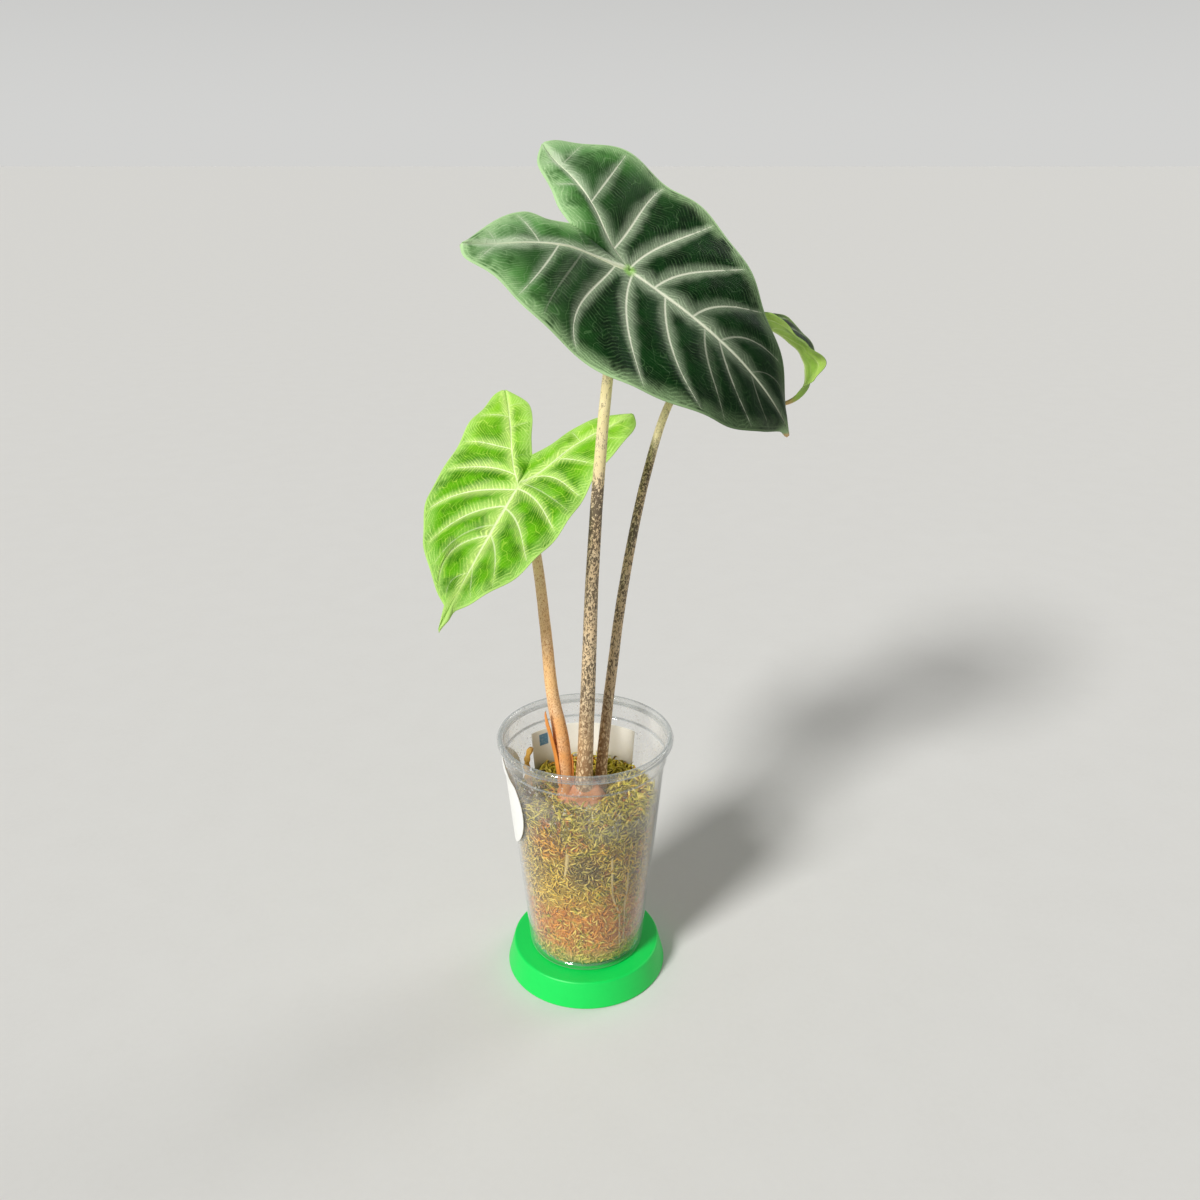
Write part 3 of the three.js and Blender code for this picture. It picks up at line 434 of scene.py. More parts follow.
def leaf_finish(name, roughness, palette, halo, net, margin):
    """Living leaf under a waxy cuticle, satin rather than glossy. Its veins run crisp and pale in a
    feathery silver haze that reaches `halo` mm from them, over a finer net, and join a pale margin."""
    material, shader, put = new_finish(name, CUTICLE_IOR, roughness, Specular_IOR_Level=0.1)
    tone = {key: linear(value) for key, value in palette.items() if isinstance(value, str)}
    veining, edges, flat = (put("ShaderNodeAttribute", output="Vector", attribute_name=layer)
                            for layer in ("veining", "edges", "flat"))
    fan, spacing, along = (put(SPLIT, {0: veining}, output=k) for k in range(3))
    rim, spine, strength = (put(SPLIT, {0: edges}, output=k) for k in range(3))
    ahead = put(SPLIT, {0: flat}, output=0)
    wobble, sway, blotch, grain = (
        put(NOISE, {"Vector": flat, "Scale": 1 / size, "Detail": detail, "Roughness": rough})
        for size, detail, rough in (
            (WOBBLE, 2.0, 0.5), (SWAY, 1.0, 0.5), (BLOTCH, 3.0, 0.6), (GRAIN, 3.0, 0.7)))

    # Distance from the nearest side vein, in millimetres
    jitter = put(MATH, {0: wobble, 1: 1.3, 2: -0.65}, **TIMES_PLUS)
    beside = put(MATH, {0: fan, 1: 0.5}, operation="PINGPONG")
    beside = put(MATH, {0: beside, 1: spacing, 2: jitter}, **TIMES_PLUS)
    beside = put(MATH, {0: beside}, operation="ABSOLUTE")

    # Feather veins leave each side vein, lean towards the margin and break off here and there
    lean = put(MATH, {0: beside, 1: -0.55, 2: along}, **TIMES_PLUS)
    lean = put(MATH, {0: sway, 1: 4.0, 2: lean}, **TIMES_PLUS)
    lean = put(MATH, {0: wobble, 1: 0.9, 2: lean}, **TIMES_PLUS)
    feather = put(MATH, {0: put(MATH, {0: lean, 1: 1 / FEATHER_GAP}, **TIMES), 1: 0.5}, operation="PINGPONG")
    feather = put(MAP, {0: feather, **range_of(0.3, 0.02)}, **SMOOTH)
    across = put("ShaderNodeCombineXYZ", {0: lean, 1: put(MATH, {0: beside, 1: 0.25}, **TIMES), 2: fan})
    broken = put(NOISE, {"Vector": across, "Scale": 1 / FEATHER_BREAK, "Detail": 2.0, "Roughness": 0.7})
    broken = put(MAP, {0: broken, **range_of(0.4, 0.62, 0.2, 1.0)}, **SMOOTH)
    feather = put(MATH, {0: feather, 1: broken}, **TIMES)

    # Thin veinlets wander between the side veins, most of them in the outer part of the blade
    stray = put(MATH, {0: sway, 1: 0.9, 2: fan}, **TIMES_PLUS)
    stray = put(MATH, {0: wobble, 1: 0.05, 2: stray}, **TIMES_PLUS)
    stray = put(MATH, {0: stray, 1: VEINLETS_PER_PANEL}, **TIMES)
    stray = put(MATH, {0: stray, 1: 0.5}, operation="PINGPONG")
    stray = put(MATH, {0: stray, 1: spacing}, **TIMES)
    stray = put(MAP, {0: stray, **range_of(1.1, 0.15)}, **SMOOTH)
    for share in (put(MAP, {0: blotch, **range_of(0.4, 0.54)}, **SMOOTH),
                  put(MAP, {0: rim, **range_of(NARROWING, 10.0, 0.2, 1.0)}, **SMOOTH)):
        stray = put(MATH, {0: stray, 1: share}, **TIMES)
    net_lines = put(MATH, {0: stray, 1: 1.2, 2: put(MATH, {0: feather, 1: 0.7}, **TIMES)}, **TIMES_PLUS)

    # Side veins narrow towards the margin, and the midrib is the widest
    inside = put(MAP, {0: rim, **range_of(2.0, NARROWING)}, **SMOOTH)
    uneven = put(MAP, {0: wobble, **range_of(0.35, 0.65, 0.7, 1.35)}, **SMOOTH)
    width = put(MATH, {0: inside, 1: 0.34, 2: 0.14}, **TIMES_PLUS)
    width = put(MATH, {0: width, 1: uneven}, **TIMES)
    meets = put(MAP, {0: rim, **range_of(0.8, 4.5)}, **SMOOTH)
    core = put(MATH, {0: beside, 1: width}, operation="DIVIDE")
    core = put(MAP, {0: core, **range_of(1.6, 0.3)}, **SMOOTH)
    core = put(MATH, {0: put(MATH, {0: core, 1: strength}, **TIMES), 1: meets}, **TIMES)
    rib_width = put(MAP, {0: rim, **range_of(0.0, 40.0, 0.28, 0.68)}, **SMOOTH)
    rib = put(MATH, {0: spine, 1: rib_width}, operation="DIVIDE")
    rib = put(MAP, {0: rib, **range_of(1.7, 0.5)}, **SMOOTH)
    rib = put(MATH, {0: rib, 1: put(MAP, {0: ahead, **range_of(-30.0, -60.0, 1.0, 0.45)}, **SMOOTH)}, **TIMES)
    veins = put(MATH, {0: core, 1: rib}, operation="MAXIMUM")

    # The haze round the veins, streaked by the feather veins, strong on the lobes and faint at the tip
    faint = put(MAP, {0: ahead, **range_of(18.0, 85.0, 1.0, palette["tip_share"])}, **SMOOTH)
    reach = put(MATH, {0: inside, 1: halo * 0.75, 2: halo * 0.5}, **TIMES_PLUS)
    reach = put(MATH, {0: reach, 1: put(MATH, {0: sway, 1: 0.9, 2: 0.55}, **TIMES_PLUS)}, **TIMES)
    glow = put(MATH, {0: beside, 1: reach}, operation="DIVIDE")
    glow = put(MAP, {0: glow, **range_of(1.0, 0.0)}, **SMOOTH)
    glow = put(MATH, {0: put(MATH, {0: glow, 1: strength}, **TIMES), 1: meets}, **TIMES)
    rib_glow = put(MATH, {0: spine, 1: put(MATH, {0: reach, 1: 1.35}, **TIMES)}, operation="DIVIDE")
    rib_glow = put(MAP, {0: rib_glow, **range_of(1.0, 0.0)}, **SMOOTH)
    glow = put(MATH, {0: glow, 1: rib_glow}, operation="MAXIMUM")
    ends = put(MATH, {0: put(MAP, {0: ahead, **range_of(-30.0, -62.0)}, **SMOOTH),
                      1: put(MAP, {0: blotch, **range_of(0.3, 0.55)}, **SMOOTH)}, **TIMES)
    glow = put(MATH, {0: ends, 1: palette["ends"], 2: glow}, **TIMES_PLUS)
    glow = put(MATH, {0: glow, 1: 1.6}, operation="POWER")
    streaks = put(MATH, {0: feather, 1: net * 1.25, 2: put(MATH, {0: grain, 1: 0.95}, **TIMES)}, **TIMES_PLUS)
    streaked = put(MATH, {0: streaks, 1: 0.12}, operation="ADD")
    glow = put(MATH, {0: glow, 1: streaked}, use_clamp=True, **TIMES)
    glow = put(MATH, {0: glow, 1: faint}, **TIMES)

    # The skin is lighter on the lobes and near their rim, and greener in blotches
    lobes = put(MAP, {0: ahead, **range_of(12.0, -52.0)}, **SMOOTH)
    near_rim = put(MAP, {0: rim, **range_of(20.0, 3.0)}, **SMOOTH)
    light = put(MATH, {0: lobes, 1: near_rim}, **TIMES)
    light = put(MATH, {0: light, 1: 0.8, 2: put(MATH, {0: lobes, 1: 0.2}, **TIMES)}, **TIMES_PLUS)
    patchy = put(MAP, {0: blotch, **range_of(0.32, 0.6, 0.45, 1.0)}, **SMOOTH)
    light = put(MATH, {0: light, 1: patchy}, use_clamp=True, **TIMES)
    greener = put(MATH, {0: put(MAP, {0: blotch, **range_of(0.36, 0.62)}, **SMOOTH), 1: faint}, **TIMES)
    haze = put(MIX, {"Factor": light, "A": tone["haze"], "B": tone["pale"]}, **COLOURS)
    speckled = put(MAP, {0: grain, **range_of(0.45, 0.75, 0.0, palette["grain"])}, **SMOOTH)
    net_share = put(MAP, {0: blotch, **range_of(0.6, 0.38, 0.45 * net, net)}, **SMOOTH)
    net_share = put(MATH, {0: net_share, 1: put(MATH, {0: light, 1: 0.8, 2: faint}, **TIMES_PLUS)}, **TIMES)
    netted = put(MATH, {0: net_lines, 1: net_share}, use_clamp=True, **TIMES)
    vein_share = put(MATH, {0: faint, 1: 0.45, 2: 0.42}, **TIMES_PLUS)
    veined = put(MATH, {0: veins, 1: vein_share}, **TIMES)
    joint = put(VECTOR, {0: flat}, output="Value", operation="LENGTH")
    joint = put(MAP, {0: joint, **range_of(4.2, 1.0, 0.0, 0.7)}, **SMOOTH)

    # A thin vein runs inside the margin, and the margin itself is pale
    collar = put(MATH, {0: rim, 1: put(MATH, {0: sway, 1: -1.6, 2: -1.5}, **TIMES_PLUS)}, operation="ADD")
    collar = put(MATH, {0: collar}, operation="ABSOLUTE")
    collar = put(MAP, {0: collar, **range_of(0.6, 0.1, 0.0, margin * 0.6)}, **SMOOTH)
    edge = put(MAP, {0: rim, **range_of(1.6, 0.6, 0.0, margin)}, **SMOOTH)
    band = put(MAP, {0: rim, **range_of(9.0, 1.0, 0.0, margin)}, **SMOOTH)
    band = put(MATH, {0: band, 1: streaks}, use_clamp=True, **TIMES)
    band = put(MATH, {0: band, 1: put(MAP, {0: blotch, **range_of(0.28, 0.5)}, **SMOOTH)}, **TIMES)
    pale = put(MATH, {0: put(MATH, {0: collar, 1: edge}, operation="MAXIMUM"), 1: band}, operation="MAXIMUM")
    pale = put(MATH, {0: pale, 1: faint}, use_clamp=True, **TIMES)
    fade = put(MAP, {0: ahead, **range_of(*palette["fade"], 0.0, palette["fade_share"])}, **SMOOTH)
    dry = put(MAP, {0: ahead, **range_of(*palette["dry"], 0.0, 0.9)}, **SMOOTH)

    skin = tone["deep"]
    for amount, over in (
            (greener, tone["green"]), (light, tone["light"]), (speckled, haze), (netted, haze),
            (glow, tone["glow"]), (veined, tone["vein"]), (joint, tone["joint"]), (pale, tone["margin"]),
            (fade, tone["margin"]), (dry, linear(DRY_TIP))):
        skin = put(MIX, {"Factor": amount, "A": skin, "B": over}, **COLOURS)
    relief = put(MATH, {0: veins, 1: -0.8, 2: put(MATH, {0: net_lines, 1: -0.45}, **TIMES)}, **TIMES_PLUS)
    relief = put(MATH, {0: grain, 1: 0.3, 2: relief}, **TIMES_PLUS)
    bump = put(BUMP, {"Height": relief, "Strength": 0.6, "Distance": 0.3 * MM})
    gloss = put(MATH, {0: grain, 1: 0.16, 2: roughness - 0.08}, **TIMES_PLUS)
    wire(material, shader, Base_Color=skin, Normal=bump, Roughness=gloss)
    return material


def object_mm(put):
    """Object coordinates in millimetres."""
    here = put("ShaderNodeTexCoord", output="Object")
    return put(VECTOR, {0: here, "Scale": 1 / MM}, operation="SCALE")


# Zones of a stalk, by height in millimetres
FOOT_LOW, FOOT_HIGH = 125.0, 185.0
# Where the painted shadow of the leaf above fades in on a stalk, going up
LEAF_SHADOW_LOW, LEAF_SHADOW_HIGH = 238.0, 266.0
# Sizes of its pattern in millimetres: patches of colour, fine specks, the foot's flakes and their bends
PATCHES, SPECKS, FLAKES, FLAKE_BENDS = 11, 0.45, 2.0, 1.1


def petiole_finish(name, palette, low, high, cover, dash):
    """Fleshy stalk with a satin skin: brown mottling in short upright dashes between two heights, a darker
    band of thicker dashes, which is painted shadow of the leaf above, and a crackled foot. Real dashes are
    finer than `dash`, which is as fine as shows."""
    material, shader, put = new_finish(name, FLESH_IOR, 0.5)
    tone = {key: linear(value) for key, value in palette.items() if isinstance(value, str)}
    here = object_mm(put)
    height = put(SPLIT, {0: here}, output=2)
    tall = put(VECTOR, {0: here, 1: (1.0, 1.0, 0.55)}, **TIMES)
    dashes = put(NOISE, {"Vector": tall, "Scale": 1 / dash, "Detail": 3.0, "Roughness": 0.65,
                         "Distortion": 0.8})
    patches = put(NOISE, {"Vector": here, "Scale": 1 / PATCHES, "Detail": 2.0})
    fine = put(NOISE, {"Vector": tall, "Scale": 1 / SPECKS, "Detail": 2.0})

    # Dashes show where their noise is above a level, which drops where the mottling is thick
    thick = put(MATH, {0: put(MAP, {0: height, **range_of(*low)}, **SMOOTH),
                       1: put(MAP, {0: height, **range_of(*high)}, **SMOOTH)}, **TIMES)
    # Painted shadow of the leaf above: a band below it where the dashes are thicker
    leaf_shadow_belt = put(MATH, {0: put(MAP, {0: height, **range_of(LEAF_SHADOW_LOW, LEAF_SHADOW_HIGH)}, **SMOOTH), 1: thick}, **TIMES)
    level = put(MATH, {0: patches, 1: -0.22, 2: 0.68}, **TIMES_PLUS)
    level = put(MATH, {0: thick, 1: -cover, 2: level}, **TIMES_PLUS)
    level = put(MATH, {0: leaf_shadow_belt, 1: -palette["leaf_shadow_belt"], 2: level}, **TIMES_PLUS)
    spots = put(MATH, {0: dashes, 1: level}, operation="SUBTRACT")
    spots = put(MAP, {0: spots, **range_of(-0.012, 0.03)}, **SMOOTH)
    # The dashes thin out towards the top, where the stalk is paler; this also paints light on the young
    # stalk's upper part, which lies in shade under its blade
    spots = put(MATH, {0: spots, 1: put(MAP, {0: height, **range_of(*high, 0.5, 0.85)}, **SMOOTH)}, **TIMES)

    # Cracks between the flakes of the foot's skin
    shift = put(NOISE, {"Vector": tall, "Scale": 1 / FLAKE_BENDS}, output="Color")
    bent = put(VECTOR, {0: shift, 1: (1.6, 1.6, 1.6), 2: tall}, **TIMES_PLUS)
    crackle = put("ShaderNodeTexVoronoi", {"Vector": bent, "Scale": 1 / FLAKES, "Randomness": 1.0},
                  output="Distance", feature="DISTANCE_TO_EDGE")
    crackle = put(MATH, {0: fine, 1: -0.22, 2: crackle}, **TIMES_PLUS)
    crackle = put(MAP, {0: crackle, **range_of(0.1, 0.0)}, **SMOOTH)
    at_foot = put(MAP, {0: height, **range_of(FOOT_HIGH, FOOT_LOW, 0.0, palette["crackle"])}, **SMOOTH)
    crackle = put(MATH, {0: crackle, 1: at_foot}, **TIMES)
    marks = put(MATH, {0: spots, 1: crackle}, operation="MAXIMUM")

    speck = put(MIX, {"Factor": put(MAP, {0: height, **range_of(FOOT_HIGH, 130.0)}, **SMOOTH),
                      "A": tone["speck"], "B": tone["foot_speck"]}, **COLOURS)
    flesh = tone["base"]
    for amount, over in (
            (put(MAP, {0: height, **range_of(*palette["warm_range"])}, **SMOOTH), tone["warm"]),
            (put(MAP, {0: height, **range_of(*high, 1.0, 0.0)}, **SMOOTH), tone["top"]),
            (put(MAP, {0: patches, **range_of(0.3, 0.75, 0.0, 0.5)}, **SMOOTH), tone["pale"]),
            (put(MATH, {0: fine, 1: 0.2}, **TIMES), speck), (marks, speck)):
        flesh = put(MIX, {"Factor": amount, "A": flesh, "B": over}, **COLOURS)
    relief = put(MATH, {0: marks, 1: fine}, operation="ADD")
    bump = put(BUMP, {"Height": relief, "Strength": 0.35, "Distance": 0.2 * MM})
    wire(material, shader, Base_Color=flesh, Normal=bump)
    return material


# Moss colours: the peach threads at its bottom, the golden ones above, the olive ones on top, and the
# painted highlight, a pale colour given to threads picked at random as if their tips caught the light
MOSS_BASE, MOSS_GOLD, MOSS_OLIVE, MOSS_PAINTED_HIGHLIGHT = "#F4A844", "#F4CA40", "#C8B838", "#FFE878"
# Places of the moss that stand out: centre, where it fades out and is full, how strong, and its colour
MOSS_SPOTS = [
    ((0.0, -36.5, 84.0), 16.0, 6.0, 0.7, "#82744A"),
    ((-22.0, -32.0, 98.0), 15.0, 6.0, 0.75, "#EE9E28"),
    ((-22.0, -26.0, 72.0), 22.0, 9.0, 0.7, "#FAD450"),
]


# Sizes of the moss's pattern in millimetres: patches of colour, tufts and single branches
MOSS_PATCHES, MOSS_TUFTS, MOSS_BRANCHES = 17, 5, 1.1


def moss_finish(name, shade, gap):
    """Damp long-fibred sphagnum, matt with a faint wet sheen: peach and golden threads, olive green ones
    on top, and pale where it is pressed at the bottom. Painted shade darkens it where it gapes and on
    threads picked at random, and a painted highlight lightens others."""
    material, shader, put = new_finish(name, WET_MOSS_IOR, 0.75, Specular_IOR_Level=0.3)
    here = object_mm(put)
    height = put(SPLIT, {0: here}, output=2)
    patches, tufts, fine = (
        put(NOISE, {"Vector": here, "Scale": 1 / size, "Detail": 3.0, "Roughness": rough})
        for size, rough in ((MOSS_PATCHES, 0.65), (MOSS_TUFTS, 0.6), (MOSS_BRANCHES, 0.7)))
    # Each thread's random pick, which sets its painted highlight and its painted shade
    tint = put("ShaderNodeAttribute", output="Fac", attribute_name="tint")
    lowered = put(MATH, {0: height, 1: -22.0}, operation="ADD")
    wander = put(MATH, {0: patches, 1: 44.0, 2: lowered}, **TIMES_PLUS)

    colour = linear(MOSS_BASE)
    layers = [(wander, 50.0, 66.0, 1.0, MOSS_GOLD), (wander, 92.0, 112.0, 1.0, MOSS_OLIVE),
              (tufts, 0.54, 0.64, 1.0, "#C6BE30"), (tufts, 0.44, 0.36, 1.0, "#E08E30"),
              (height, 32.0, 21.0, 0.6, "#DADA96")]
    for centre, fading, full, share, code in MOSS_SPOTS:
        spot = put(VECTOR, {0: here, 1: centre}, output="Value", operation="DISTANCE")
        layers.append((spot, fading, full, share, code))
    # Painted highlight: threads with a high pick turn pale, as if lit
    layers.append((tint, 0.45, 1.0, 0.9, MOSS_PAINTED_HIGHLIGHT))
    for value, low, high, share, code in layers:
        amount = put(MAP, {0: value, **range_of(low, high, 0.0, share)}, **SMOOTH)
        colour = put(MIX, {"Factor": amount, "A": colour, "B": linear(code)}, **COLOURS)

    # Painted shade on threads with a low pick, more of it higher up; the body has no pick and takes it all
    # over
    shaded = put(MATH, {0: put(MAP, {0: tint, **range_of(0.3, 0.0)}, **SMOOTH),
                        1: put(MAP, {0: height, **range_of(50.0, 75.0, 0.3, 0.65)}, **SMOOTH)}, **TIMES)
    # Painted shade in the gaps between the branches, where the fine noise is low, weaker at the bottom
    dark = put(MATH, {0: fine, 1: gap}, operation="SUBTRACT")
    dark = put(MAP, {0: dark, **range_of(0.06, -0.06, 0.0, shade)}, **SMOOTH)
    upper = put(MAP, {0: height, **range_of(52.0, 74.0, 0.45, 1.0)}, **SMOOTH)
    dark = put(MATH, {0: dark, 1: upper}, **TIMES)
    for amount, code in ((shaded, "#4A3608"), (dark, "#4E3A12")):
        colour = put(MIX, {"Factor": amount, "A": colour, "B": linear(code)}, **COLOURS)
    bump = put(BUMP, {"Height": fine, "Strength": 0.6, "Distance": 0.5 * MM})
    wire(material, shader, Base_Color=colour, Normal=bump)
    return material


def plain_finish(name, ior, roughness, base, mottle, size, amount, bump_depth, **fixed):
    """A one-colour finish with soft mottling and fine relief of a stated size in millimetres."""
    material, shader, put = new_finish(name, ior, roughness, **fixed)
    here = object_mm(put)
    broad = put(NOISE, {"Vector": here, "Scale": 1 / (8 * size), "Detail": 2.0})
    fine = put(NOISE, {"Vector": here, "Scale": 1 / size, "Detail": 4.0, "Roughness": 0.6})
    share = put(MATH, {0: put(MATH, {0: broad, 1: fine}, **TIMES), 1: amount}, **TIMES)
    colour = put(MIX, {"Factor": share, "A": linear(base), "B": linear(mottle)}, **COLOURS)
    gloss = put(MATH, {0: fine, 1: 0.12, 2: roughness - 0.06}, **TIMES_PLUS)
    bump = put(BUMP, {"Height": fine, "Strength": 0.4, "Distance": bump_depth * MM})
    wire(material, shader, Base_Color=colour, Roughness=gloss, Normal=bump)
    return material


# Sizes of what dulls the cup, in millimetres: clouds of film, dried drops, their groups and scratches
CLOUDS, DROPS, DROP_GROUPS, SCRATCHES = 17, 2.5, 8, 1.4


def cup_finish():
    """Thermoformed clear PET, 0.8 mm thick, seen by its reflections, which grow towards its edges, and by
    faint haze, upright scratches and dried drops above the moss. It bends no light: grey lines painted at its
    rims, and a grey edge painted towards its outline, stand in for the light that it would bend there."""
    material, shader, put = new_finish("clear_pet_thermoformed", PET_IOR, 0.035)
    here = object_mm(put)
    height = put(SPLIT, {0: here}, output=2)
    cloud = put(NOISE, {"Vector": here, "Scale": 1 / CLOUDS, "Detail": 4.0, "Roughness": 0.6})
    drops = put("ShaderNodeTexVoronoi", {"Vector": here, "Scale": 1 / DROPS, "Randomness": 1.0},
                output="Distance")
    drops = put(MAP, {0: drops, **range_of(0.3, 0.16)}, **SMOOTH)
    sparse = put(NOISE, {"Vector": here, "Scale": 1 / DROP_GROUPS, "Detail": 2.0})
    drops = put(MATH, {0: drops, 1: put(MAP, {0: sparse, **range_of(0.46, 0.6)}, **SMOOTH)}, **TIMES)
    upright = put(VECTOR, {0: here, 1: (1.6, 1.6, 0.12)}, **TIMES)
    scratches = put(NOISE, {"Vector": upright, "Scale": 1 / SCRATCHES, "Detail": 3.0, "Roughness": 0.7})
    scratches = put(MAP, {0: scratches, **range_of(0.6, 0.74)}, **SMOOTH)

    # Film: what dulls the wall. Most of it is above the moss.
    above = put(MAP, {0: height, **range_of(96.0, 114.0)}, **SMOOTH)
    film = put(MAP, {0: cloud, **range_of(0.4, 0.65, 0.0, 0.07)}, **SMOOTH)
    film = put(MATH, {0: film, 1: above, 2: 0.012}, **TIMES_PLUS)
    film = put(MATH, {0: put(MATH, {0: drops, 1: above}, **TIMES), 1: 0.3, 2: film}, **TIMES_PLUS)
    film = put(MATH, {0: scratches, 1: 0.06, 2: film}, **TIMES_PLUS)

    # Rims: grey lines painted where the wall bends, in place of the lines that bent light draws there
    painted_rim_lines = put(MAP, {0: height, **range_of(COLLAR_TOP - 0.4, COLLAR_TOP + 0.4, 0.0, 0.1)}, **SMOOTH)
    for level in (COLLAR_BOTTOM, COLLAR_TOP, CUP_TOP, CUP_BOTTOM + 1):
        line = put(MATH, {0: height, 1: float(level)}, operation="SUBTRACT")
        line = put(MATH, {0: line}, operation="ABSOLUTE")
        line = put(MAP, {0: line, **range_of(0.75, 0.1, 0.0, 0.42)}, **SMOOTH)
        painted_rim_lines = put(MATH, {0: painted_rim_lines, 1: line}, operation="MAXIMUM")

    # A clear sheet mirrors 4% face on and all of the light at its edges
    relief = put(MATH, {0: drops, 1: 0.6, 2: cloud}, **TIMES_PLUS)
    bump = put(BUMP, {"Height": relief, "Strength": 0.12, "Distance": 0.4 * MM})
    glancing = put("ShaderNodeLayerWeight", {"Blend": 0.5, "Normal": bump}, output="Facing")
    shine, painted_edge = (put(MATH, {0: glancing, 1: power}, operation="POWER") for power in (5.0, 4.0))
    shine = put(MATH, {0: shine, 1: 0.96, 2: 0.04}, **TIMES_PLUS)
    # Painted edge: grey that grows towards the outline, added to the painted rim lines
    painted_rim_lines = put(MATH, {0: painted_edge, 1: 0.4, 2: painted_rim_lines}, **TIMES_PLUS)
    # The real film and the painted grey lines together dull the wall
    dust_and_painted_lines = put(MATH, {0: film, 1: painted_rim_lines}, operation="ADD", use_clamp=True)
    whole = put(MATH, {0: shine, 1: dust_and_painted_lines}, operation="ADD", use_clamp=True)
    mirror = put(MATH, {0: shine, 1: whole}, operation="DIVIDE", use_clamp=True)
    dusty = put(MATH, {0: film, 1: dust_and_painted_lines}, operation="DIVIDE", use_clamp=True)
    # The film is off-white; the painted rim lines and edge are grey
    tone = put(MIX, {"Factor": dusty, "A": linear("#8E989A"), "B": linear("#F3EFE2")}, **COLOURS)
    tone = put(MIX, {"Factor": mirror, "A": tone, "B": linear("#FFFFFF")}, **COLOURS)
    wire(material, shader, Base_Color=tone, Metallic=mirror, Alpha=whole, Normal=bump)
    return material


# The card's plain patch, in millimetres along and up the card: (start, its soft end) of each side
PATCH_SIDES = [(0, 5.2, 5.6), (0, 11.8, 11.3), (1, 24.4, 24.8), (1, 31.6, 31.2)]
# Its damp places, and clumps of its fibres. A single fibre, some hundredths of a millimetre thick, doesn't
# show.
DAMP_PLACES, FIBRES = 12, 1.1


def card_finish():
    """White uncoated card, matt and faintly fibrous, damp at its foot, with one plain blue-grey patch."""
    material, shader, put = new_finish("white_card_uncoated", PAPER_IOR, 0.7)
    here = object_mm(put)
    height = put(SPLIT, {0: here}, output=2)
    fibres = put(NOISE, {"Vector": here, "Scale": 1 / FIBRES, "Detail": 4.0})
    damp = put(NOISE, {"Vector": here, "Scale": 1 / DAMP_PLACES, "Detail": 2.0})
    wet = put(MATH, {0: damp, 1: 14.0, 2: height}, **TIMES_PLUS)
    wet = put(MAP, {0: wet, **range_of(128.0, 114.0, 0.0, 0.55)}, **SMOOTH)
    place = put("ShaderNodeAttribute", output="Vector", attribute_name="place")
    patch = put(MAP, {0: fibres, **range_of(0.25, 0.5, 0.6, 0.95)}, **SMOOTH)
    for axis, out, full in PATCH_SIDES:
        side = put(MAP, {0: put(SPLIT, {0: place}, output=axis), **range_of(out, full)}, **SMOOTH)
        patch = put(MATH, {0: patch, 1: side}, **TIMES)
    colour = linear("#FAF7EC")
    for amount, code in ((put(MATH, {0: fibres, 1: 0.35}, **TIMES), "#E6E0CE"), (wet, "#B9AE8C"),
                         (patch, "#4E86A8")):
        colour = put(MIX, {"Factor": amount, "A": colour, "B": linear(code)}, **COLOURS)
    bump = put(BUMP, {"Height": fibres, "Strength": 0.25, "Distance": 0.1 * MM})
    wire(material, shader, Base_Color=colour, Normal=bump)
    return material


# Leaf skins. A palette's numbers are shares from 0 to 1, and its pairs are where along the blade, in
# millimetres, it fades to the margin's colour and dries at its tip.
DARK = {
    "deep": "#021A05", "green": "#09310D", "light": "#5A9848", "haze": "#6E9A60", "pale": "#A9CC90",
    "glow": "#B6C8A6", "vein": "#EAEDD4", "margin": "#B4D69C", "joint": "#8CCB40", "grain": 0.08,
    "tip_share": 0.25, "ends": 0.62, "fade": (104.0, 113.0), "fade_share": 0.35, "dry": (112.5, 115.5)}
CURLED = {**DARK, "glow": "#B2C6A2", "vein": "#E6EACF", "margin": "#A4CC60", "fade": (61.0, 80.0),
          "fade_share": 0.85, "dry": (79.0, 85.0)}
DARK_UNDER = {
    "deep": "#7FA53C", "green": "#9DC250", "light": "#AECB60", "haze": "#B6D070", "pale": "#C0D880",
    "glow": "#BAD47C", "vein": "#CFE09A", "margin": "#C8DC82", "joint": "#B5C86A", "grain": 0.2,
    "tip_share": 0.8, "ends": 0.2, "fade": (100.0, 113.0), "fade_share": 0.4, "dry": (112.5, 115.5)}
CURLED_UNDER = {**DARK_UNDER, "fade": (70.0, 80.0), "dry": (79.0, 85.0)}
YOUNG = {
    "deep": "#2E7400", "green": "#5CA80A", "light": "#8FCE2C", "haze": "#C2EC54", "pale": "#D2F26E",
    "glow": "#D8F28C", "vein": "#ECF6C4", "margin": "#BCE27C", "joint": "#D6EE9A", "grain": 0.22,
    "tip_share": 0.85, "ends": 0.25, "fade": (70.0, 82.0), "fade_share": 0.4, "dry": (90.0, 99.0)}
YOUNG_UNDER = {
    **YOUNG, "deep": "#7DAF48", "green": "#98C45E", "light": "#AFD47A", "haze": "#B6D888",
    "pale": "#C3E09A", "glow": "#C3E09A", "vein": "#DDEBBA", "margin": "#C4E096", "joint": "#D2E6A0",
    "grain": 0.2, "tip_share": 0.8, "ends": 0.2}
dark_leaf = leaf_finish("waxy_leaf_dark", 0.42, DARK, 5.7, 0.36, 0.92)
back_leaf_skin = leaf_finish("waxy_leaf_dark_curled", 0.42, CURLED, 5.7, 0.36, 0.92)
dark_leaf_under = leaf_finish("waxy_leaf_dark_underside", 0.5, DARK_UNDER, 3.0, 0.2, 0.5)
back_leaf_under = leaf_finish("waxy_leaf_curled_underside", 0.5, CURLED_UNDER, 3.0, 0.2, 0.5)
young_leaf = leaf_finish("waxy_leaf_young", 0.45, YOUNG, 6.7, 0.6, 0.85)
young_leaf_under = leaf_finish("waxy_leaf_young_underside", 0.5, YOUNG_UNDER, 3.0, 0.25, 0.5)

